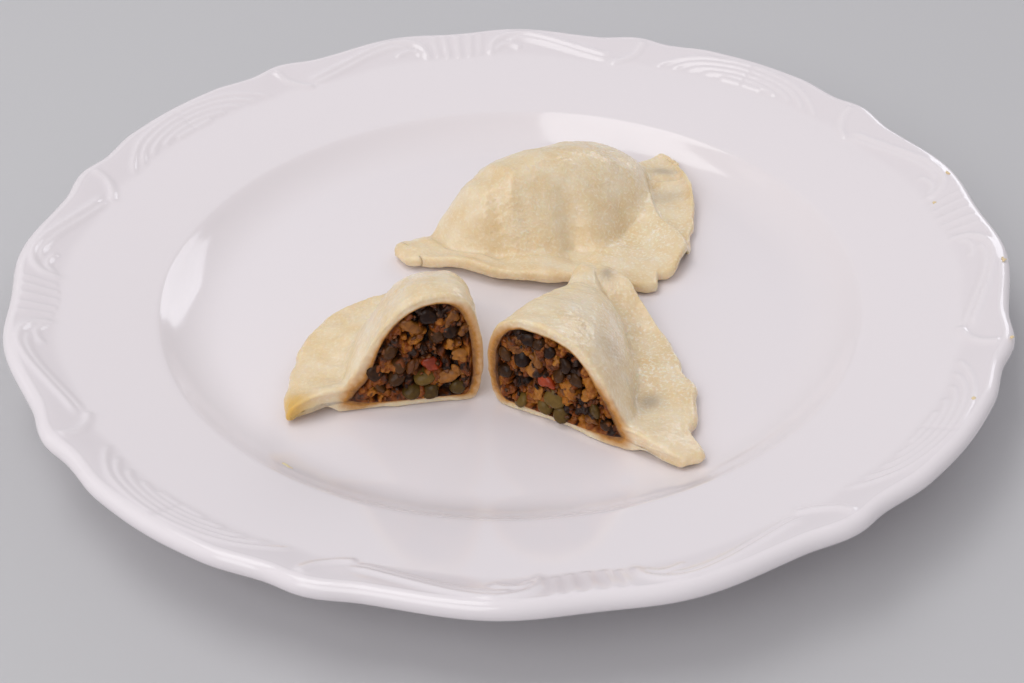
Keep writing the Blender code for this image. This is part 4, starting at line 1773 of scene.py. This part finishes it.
# ---------------------------------------------------------------- filling
@dataclass(frozen=True)
class MorselShape:
    """How the morsels of one kind are made."""

    finish: TwoToned
    rows: int
    columns: int
    stretch: tuple[float, float, float]    # radii on the three axes, as shares of the size
    lump: float                            # how uneven it is, as a share of the radius
    limit: float                           # metres that it may stand out of the cut


MORSEL_SHAPES: dict[Kind, MorselShape] = {
    Kind.DARK_LENTIL: MorselShape(
        LentilSkin("dark_lentil_skin", "#21110A", "#5E3C1C"),
        11, 18, (1.0, 0.92, 0.6), 0.07, 0.0010),
    Kind.GREEN_LENTIL: MorselShape(
        LentilSkin("green_lentil_skin", "#3F2C10", "#735A29"),
        11, 18, (1.0, 0.92, 0.52), 0.06, 0.0014),
    Kind.ONION: MorselShape(
        SoftMorsel("fried_onion", "#5E3108", "#AE6F24", gloss=0.45),
        16, 24, (1.0, 0.7, 0.5), 0.26, 0.0007),
    Kind.PEPPER: MorselShape(
        SoftMorsel("red_pepper", "#6E1F06", "#A83E12", 1.6, 0.35),
        14, 20, (1.0, 0.75, 0.5), 0.26, 0.0012),
    Kind.CRUMB: MorselShape(
        SoftMorsel("mash_crumb", "#1E1007", "#80491A", 0.8, 0.45),
        7, 10, (1.0, 0.8, 0.7), 0.3, 0.0012),
}


@dataclass(frozen=True)
class Filling:
    """The morsels that stand out of both cut faces, one mesh for each kind."""

    halves: tuple[CutPierog, ...]

    def gathered(self) -> dict[Kind, list[tuple[CutPierog, Morsel]]]:
        """All morsels by kind, each with the half that it is in.

        Returns:
            For each kind, pairs of a half and a morsel.
        """
        found: dict[Kind, list[tuple[CutPierog, Morsel]]] = {kind: [] for kind in Kind}
        for half in self.halves:
            for morsel in (*half.morsels, *half.scattered()):
                found[morsel.kind].append((half, morsel))
        return found

    @staticmethod
    def stance(half: CutPierog, morsel: Morsel, shape: MorselShape) -> tuple[Array, Array]:
        """Place one morsel so that the given share of it stands out of the cut.

        Its short axis tilts away from the cut's normal. Half its extent along that
        normal is the root of the sum of (axis * stretch)^2, and it stands out by no
        more than its kind's limit.

        Args:
            half: The dumpling's half.
            morsel: The morsel.
            shape: How its kind is made.

        Returns:
            Its three stretched axes, and its middle.
        """
        tilt, turn = np.radians(morsel.tilt), np.radians(morsel.turn)
        short = np.array([-np.cos(tilt), np.sin(tilt) * np.cos(turn),
                          np.sin(tilt) * np.sin(turn)])
        level = np.array([np.sin(tilt), np.cos(tilt) * np.cos(turn),
                          np.cos(tilt) * np.sin(turn)])
        axes = np.stack([np.cross(short, level), level, short])
        axes *= (np.array(shape.stretch) * morsel.size * MM)[:, None]
        extent = np.sqrt((axes[:, 0] ** 2).sum())
        proud = min(2.0 * extent * morsel.show, shape.limit)
        middle = np.array([[extent - proud, morsel.across * MM, morsel.up * MM]])
        return half.direction(axes), half.place(middle)[0]

    def build(self) -> list[Item]:
        """Make a piece for each kind of morsel.

        Returns:
            The pieces.
        """
        pieces = []
        for seed, (kind, members) in enumerate(self.gathered().items()):
            shape = MORSEL_SHAPES[kind]
            frames, middles = (np.array(part) for part in zip(
                *(self.stance(half, morsel, shape) for half, morsel in members)))
            balls = lumpy_balls(shape.rows, shape.columns, 0.12, len(members),
                                Ripples(1.7, shape.lump, seed + 60), 7.3)
            tone = np.array([morsel.tone for _, morsel in members])
            mesh = repeated_mesh(kind.value, balls, frames, middles, {"tone": tone})
            pieces.append(add_piece(mesh, [shape.finish.material()]))
        return pieces


# ---------------------------------------------------------------- marks on the plate
@dataclass(frozen=True)
class SauceSpecks:
    """Dried flecks of sauce on the plate's rim, and a smear on the wall of its well."""

    # bearing in degrees, radius in mm, length and width in mm
    flecks: tuple[tuple[float, float, float, float], ...]
    thickness: float = 0.35

    def build(self) -> Item:
        """Make the flecks: flattened uneven balls that lie on the plate.

        Returns:
            The piece.
        """
        count = len(self.flecks)
        balls = lumpy_balls(9, 14, 0.15, count, Ripples(1.5, 0.22, 90), 5.1)
        bearing, radius, length, width = np.array(self.flecks).T
        bearing, radius = np.radians(bearing), radius * MM
        step = 0.0004
        middles = PLATE.surface(bearing, radius)
        out = PLATE.surface(bearing, radius + step) - middles
        out /= np.linalg.norm(out, axis=1, keepdims=True)
        round_plate = np.stack([-np.sin(bearing), np.cos(bearing), 0.0 * bearing], axis=1)
        normal = np.cross(out, round_plate)
        frames = np.stack([round_plate * length[:, None] * 0.5, out * width[:, None] * 0.5,
                           normal * self.thickness * 0.5], axis=1) * MM
        mesh = repeated_mesh("sauce_specks", balls, frames, middles,
                             {"tone": np.linspace(0.1, 0.9, count)})
        finish = SoftMorsel("dried_sauce", "#E6C897", "#F0DDB6", 0.8, 0.45)
        return add_piece(mesh, [finish.material()])


# ---------------------------------------------------------------- studio
@dataclass(frozen=True)
class Softbox:
    """A rectangular light, by its bearing and elevation in degrees from the plate."""

    name: str
    bearing: float             # clockwise from straight behind the plate
    elevation: float
    distance: float
    size: tuple[float, float]
    power: float
    tint: str = "#FFFFFF"

    def build(self, target: Vector) -> None:
        """Make the light, turned to the plate.

        Args:
            target: The point that it faces.
        """
        bearing, elevation = np.radians(self.bearing), np.radians(self.elevation)
        away = Vector((np.sin(bearing) * np.cos(elevation), np.cos(bearing) * np.cos(elevation),
                       np.sin(elevation)))
        data = bpy.data.lights.new(self.name, "AREA")
        data.shape = "RECTANGLE"
        data.size, data.size_y = self.size
        data.energy = self.power
        data.color = linear(self.tint)[:3]
        lamp = add_object(self.name, data)
        lamp.location = target + away * self.distance
        lamp.rotation_mode = "QUATERNION"
        lamp.rotation_quaternion = away.to_track_quat("Z", "Y")
        lamp.visible_camera = False


@dataclass(frozen=True)
class Studio:
    """A pale floor, soft lights and the camera."""

    floor_half: float = 3.0
    sky: str = "#E4E3E6"
    sky_strength: float = 0.57
    softboxes: tuple[Softbox, ...] = (
        Softbox("overhead_softbox", -85.0, 72.0, 1.1, (0.7, 0.5), 3.0),
        Softbox("window", 32.0, 24.0, 1.5, (0.55, 0.6), 2.9, "#F6F8FF"),
        Softbox("front_fill", -150.0, 40.0, 1.6, (1.0, 1.0), 6.9),
        Softbox("side_fill", -90.0, 35.0, 1.1, (0.9, 0.7), 0.7),
    )
    camera_place: tuple[float, float, float] = (0.00026, -0.3636, 0.2667)
    camera_target: tuple[float, float, float] = (0.00026, -0.04229, 0.025)
    camera_roll: float = -1.171            # degrees
    lens: float = 56.75                    # mm on a 36 mm wide sensor

    def build(self) -> None:
        """Make the floor, the lights, the sky and the camera."""
        half = self.floor_half
        corners = np.array([(-half, -half, 0.0), (half, -half, 0.0), (half, half, 0.0),
                            (-half, half, 0.0)])
        mesh = fill_mesh("studio_floor", corners, np.array([[0, 1, 2, 3]]))
        mesh.materials.append(StudioPaper().material())
        add_object("studio_floor", mesh)
        low, high = CAD_BOX
        for softbox in self.softboxes:
            softbox.build((low + high) / 2.0)
        world = bpy.data.worlds.new("studio_sky")
        world.use_nodes = True
        background = world.node_tree.nodes["Background"]
        background.inputs["Color"].default_value = linear(self.sky)
        background.inputs["Strength"].default_value = self.sky_strength
        bpy.context.scene.world = world
        bpy.context.scene.view_settings.view_transform = "Standard"
        self.build_camera()

    def build_camera(self) -> None:
        """Make the camera, looking at its target and rolled about its axis."""
        data = bpy.data.cameras.new("camera")
        data.sensor_width = 36.0
        data.lens = self.lens
        data.clip_start, data.clip_end = 0.01, 20.0
        camera = add_object("camera", data)
        place = Vector(self.camera_place)
        back = place - Vector(self.camera_target)
        camera.location = place
        camera.rotation_mode = "QUATERNION"
        roll = Matrix.Rotation(np.radians(self.camera_roll), 4, "Z").to_quaternion()
        camera.rotation_quaternion = back.to_track_quat("Z", "Y") @ roll
        bpy.context.scene.camera = camera


# ---------------------------------------------------------------- the three dumplings
WHOLE = Pierog(
    name="pierog_whole", origin=(0.0078, 0.0507), bearing=34.5,
    depth=0.0556, outline=HalfMoon(0.0460, (2.2, 0.73), 0.0500, (0.98, 0.55)),
    belly_depth=0.038, foot=HalfMoon(0.046, (2.0, 0.7), 0.040, (1.2, 0.5)),
    height=0.0246, arch=HalfMoon(0.047, (2.2, 0.75), 0.0282, (2.6, 1.1), -0.010),
    crest=0.016, end_crest=0.008, slope=(2.1, 1.3), counts=Counts(290), bulge=0.003, seal=0.0033,
    hook=0.0045, near_hook=-0.0032,
    lifts=(Lift(28, 20, 0.0, 0.0035, 2.0), Lift(125, 22, 0.0012, 0.0028),
           Lift(153, 10, 0.001, 0.0022), Lift(176, 8, 0.001, 0.0018)),
    ledge=Ledge(((36.0, 4.0), (33.5, 9.9), (30.5, 14.5), (27.7, 19.0), (24.1, 25.2), (21.5, 29.5),
                 (19.2, 34.2), (18.6, 38.7), (18.5, 43.5), (17.0, 48.7), (15.0, 56.0)),
                0.0022, 0.0034, 0.006),
    presses=(Mark(0.0115, 0.0350, 0.0044, 0.0052, 0.0078),
             Mark(-0.0080, 0.0305, 0.0034, 0.0062, 0.0052, 15),
             Mark(0.0310, 0.0190, 0.0035, 0.0060, 0.0016)),
    lobes=(Lobe(-0.001, 0.010, 0.0031), Lobe(0.0035, 0.0025, -0.0035), Lobe(-0.039, 0.006, -0.0035),
           Lobe(0.024, 0.003, -0.0012)),
    creases=(Crease(((-34.0, -1.0), (-35.6, 4.5), (-36.0, 9.0), (-33.5, 14.0), (-30.0, 19.0),
                     (-26.2, 24.9)), 0.0016, 0.0010, 0.0005),
             Crease(((-19.5, 9.0), (-23.0, 14.0), (-26.5, 19.5), (-28.5, 24.0)),
                    0.0022, 0.0010, 0.0006),
             Crease(((33.5, 13.5), (38.0, 15.5), (44.0, 17.0)), 0.0012, 0.0010, 0.0003)),
    spots=(Mark(0.0390, 0.0103, 0.0036, 0.0028, 0.5, 60, 0.0004),
           Mark(0.0319, 0.0235, 0.0042, 0.0040, 0.3, 0, 0.0002)),
    coarse=(Mark(0.012, 0.042, 0.016, 0.012, 0.6), Mark(-0.022, 0.028, 0.009, 0.008, 0.3),
            Mark(0.022, 0.012, 0.016, 0.014, 0.45)),
    seed=3,
)
LEFT_HALF = CutPierog(
    name="half_left", origin=(-0.0076, -0.0419), bearing=97.8,
    depth=0.0497, outline=HalfMoon(0.0456, (1.9, 0.3)),
    belly_depth=0.0375, foot=HalfMoon(0.045, (2.4, 0.5)),
    height=0.0335, arch=HalfMoon(0.042, (2.15, 0.92)),
    crest=0.0105, end_crest=0.006, slope=(2.3, 1.15), counts=Counts(190), bulge=0.0006,
    corner=0.35, side_power=0.75, side=1, lean=0.0024, pinch=(0.0285, 0.0028, 0.0036),
    lifts=(Lift(90, 9, 0.0034, 0.0, 3.0), Lift(50, 26, 0.002, 0.0012), Lift(0, 25, 0.001, 0.002)),
    lobes=(Lobe(0.005, 0.004, 0.0008),),
    tans=(Mark(0.001, 0.048, 0.005, 0.005, 0.9),),
    soak_side=0.0022,
    seed=5,
    morsels=(
        *morsels_of(Kind.DARK_LENTIL,
                    (12.8, 27.2, 2.5, 15, 60, 0.7, 0.0), (11.0, 20.9, 2.2, 30, 0, 0.6, 0.5),
                    (7.4, 22.2, 2.4, 40, 120, 0.6, 0.1), (26.6, 11.4, 2.5, 20, 180, 0.7, 0.2),
                    (21.7, 8.8, 2.3, 25, 90, 0.7, 0.5), (22.5, 17.2, 2.4, 35, 200, 0.6, 0.6),
                    (20.8, 12.6, 2.5, 55, 30, 0.6, 0.7)),
        *morsels_of(Kind.GREEN_LENTIL,
                    (17.9, 4.4, 2.5, 50, 90, 0.7, 0.3), (13.2, 4.2, 2.3, 30, 60, 0.7, 0.2),
                    (14.3, 8.2, 3.0, 65, 80, 0.8, 0.8), (6.3, 4.6, 2.1, 15, 60, 0.7, 0.3)),
        *morsels_of(Kind.ONION,
                    (8.9, 8.4, 2.6, 15, 70, 0.6, 0.6), (16.8, 24.2, 2.9, 20, 150, 0.6, 0.4),
                    (6.6, 26.0, 2.3, 30, 200, 0.6, 0.3), (7.8, 18.0, 1.6, 30, 20, 0.75, 0.9),
                    (5.3, 14.0, 2.0, 20, 100, 0.7, 0.8)),
        *morsels_of(Kind.PEPPER, (12.3, 12.2, 2.5, 20, 100, 0.75, 0.4))),
    gaps=((16.2, 10.8, 1.8), (10.6, 16.4, 1.9), (7.6, 14.6, 1.3), (13.0, 23.6, 1.2),
          (24.0, 19.6, 1.5)),
)
RIGHT_HALF = CutPierog(
    name="half_right", origin=(-0.0058, -0.0423), bearing=57.5,
    depth=0.0555, outline=HalfMoon(0.0552, (1.2, 0.5)),
    belly_depth=0.042, foot=HalfMoon(0.0515, (1.5, 0.74)),
    height=0.0288, arch=HalfMoon(0.0535, (1.45, 0.7)),
    crest=0.014, end_crest=0.003, slope=(3.0, 1.2), counts=Counts(220), bulge=0.0006,
    corner=0.5, side_power=0.8, hook=-0.0042, rise=0.0053, pinch=(0.031, 0.0025, 0.001),
    lifts=(Lift(90, 9, 0.003, 0.0), Lift(4, 14, 0.0, 0.0005), Lift(13, 9, 0.0036, 0.0012)),
    presses=(Mark(0.0172, 0.0362, 0.0050, 0.0046, 0.0060),
             Mark(0.0330, 0.0245, 0.0060, 0.0035, 0.0022)),
    lobes=(Lobe(0.0055, 0.0035, 0.0055), Lobe(0.0275, 0.004, 0.0032), Lobe(0.018, 0.006, 0.0024),
           Lobe(0.042, 0.006, 0.0012)),
    spots=(Mark(0.0495, 0.0098, 0.0026, 0.0022, 0.6, 0, 0.0003),
           Mark(0.0165, 0.0375, 0.0034, 0.0030, 0.6, 0, 0.0005),
           Mark(0.0115, 0.0285, 0.0050, 0.0050, 0.22)),
    coarse=(Mark(0.03, 0.030, 0.022, 0.022, 0.65),),
    soak_side=0.0024, seed=8,
    morsels=(
        *morsels_of(Kind.DARK_LENTIL,
                    (11.8, 23.2, 2.0, 20, 60, 0.7, 0.1), (14.9, 22.8, 1.9, 30, 0, 0.6, 0.3),
                    (17.6, 21.8, 2.0, 20, 120, 0.7, 0.0), (22.2, 19.2, 2.2, 15, 200, 0.7, 0.1),
                    (9.8, 16.5, 2.6, 35, 45, 0.7, 0.0), (4.9, 10.9, 2.1, 20, 90, 0.7, 0.2),
                    (20.3, 15.4, 2.3, 45, 160, 0.6, 0.5), (25.0, 15.8, 2.2, 30, 220, 0.6, 0.4),
                    (34.0, 5.6, 1.7, 30, 100, 0.7, 0.3)),
        *morsels_of(Kind.GREEN_LENTIL,
                    (19.3, 7.9, 2.8, 25, 60, 0.8, 0.9), (9.4, 3.8, 2.4, 45, 130, 0.8, 0.8),
                    (16.6, 4.4, 2.2, 40, 60, 0.8, 0.7), (21.2, 3.6, 2.3, 20, 40, 0.8, 0.5),
                    (30.6, 8.8, 2.2, 45, 200, 0.7, 0.3)),
        *morsels_of(Kind.ONION,
                    (23.3, 11.5, 2.3, 20, 40, 0.7, 0.15), (12.9, 14.6, 2.2, 20, 30, 0.65, 0.7),
                    (7.6, 20.0, 2.6, 15, 70, 0.6, 0.3), (14.4, 7.2, 1.9, 20, 150, 0.65, 0.9),
                    (28.6, 12.6, 1.8, 30, 110, 0.65, 0.8)),
        *morsels_of(Kind.PEPPER, (16.9, 12.2, 2.2, 25, 80, 0.75, 0.7))),
    gaps=((14.1, 10.4, 1.3), (7.9, 7.8, 1.6), (11.0, 9.6, 1.4), (26.8, 12.8, 1.2)),
)

SPECKS = SauceSpecks((
    (14.9, 130.4, 1.9, 1.1), (10.7, 122.4, 1.2, 0.9), (-4.8, 131.2, 1.6, 1.1),
    (-20.1, 131.9, 1.3, 0.9), (-31.9, 128.6, 1.4, 1.0), (-128.4, 88.2, 3.6, 0.9)))


def main() -> None:
    """Build the pieces in order."""
    logging.basicConfig(level=logging.INFO, format="%(name)s: %(message)s")
    Studio().build()
    pieces = [PLATE.build()]
    dough, mash = BoiledDough().material(), LentilMash().material()
    pieces.append(WHOLE.build(dough))
    halves = (LEFT_HALF, RIGHT_HALF)
    for half in halves:
        pieces += [half.build(dough), half.build_mash(mash)]
    pieces += [*Filling(halves).build(), SPECKS.build()]
    for piece in pieces:
        mesh = piece.data
        LOG.info("%s: %d vertices, %d faces", piece.name, len(mesh.vertices), len(mesh.polygons))


if __name__ == "__main__":
    main()
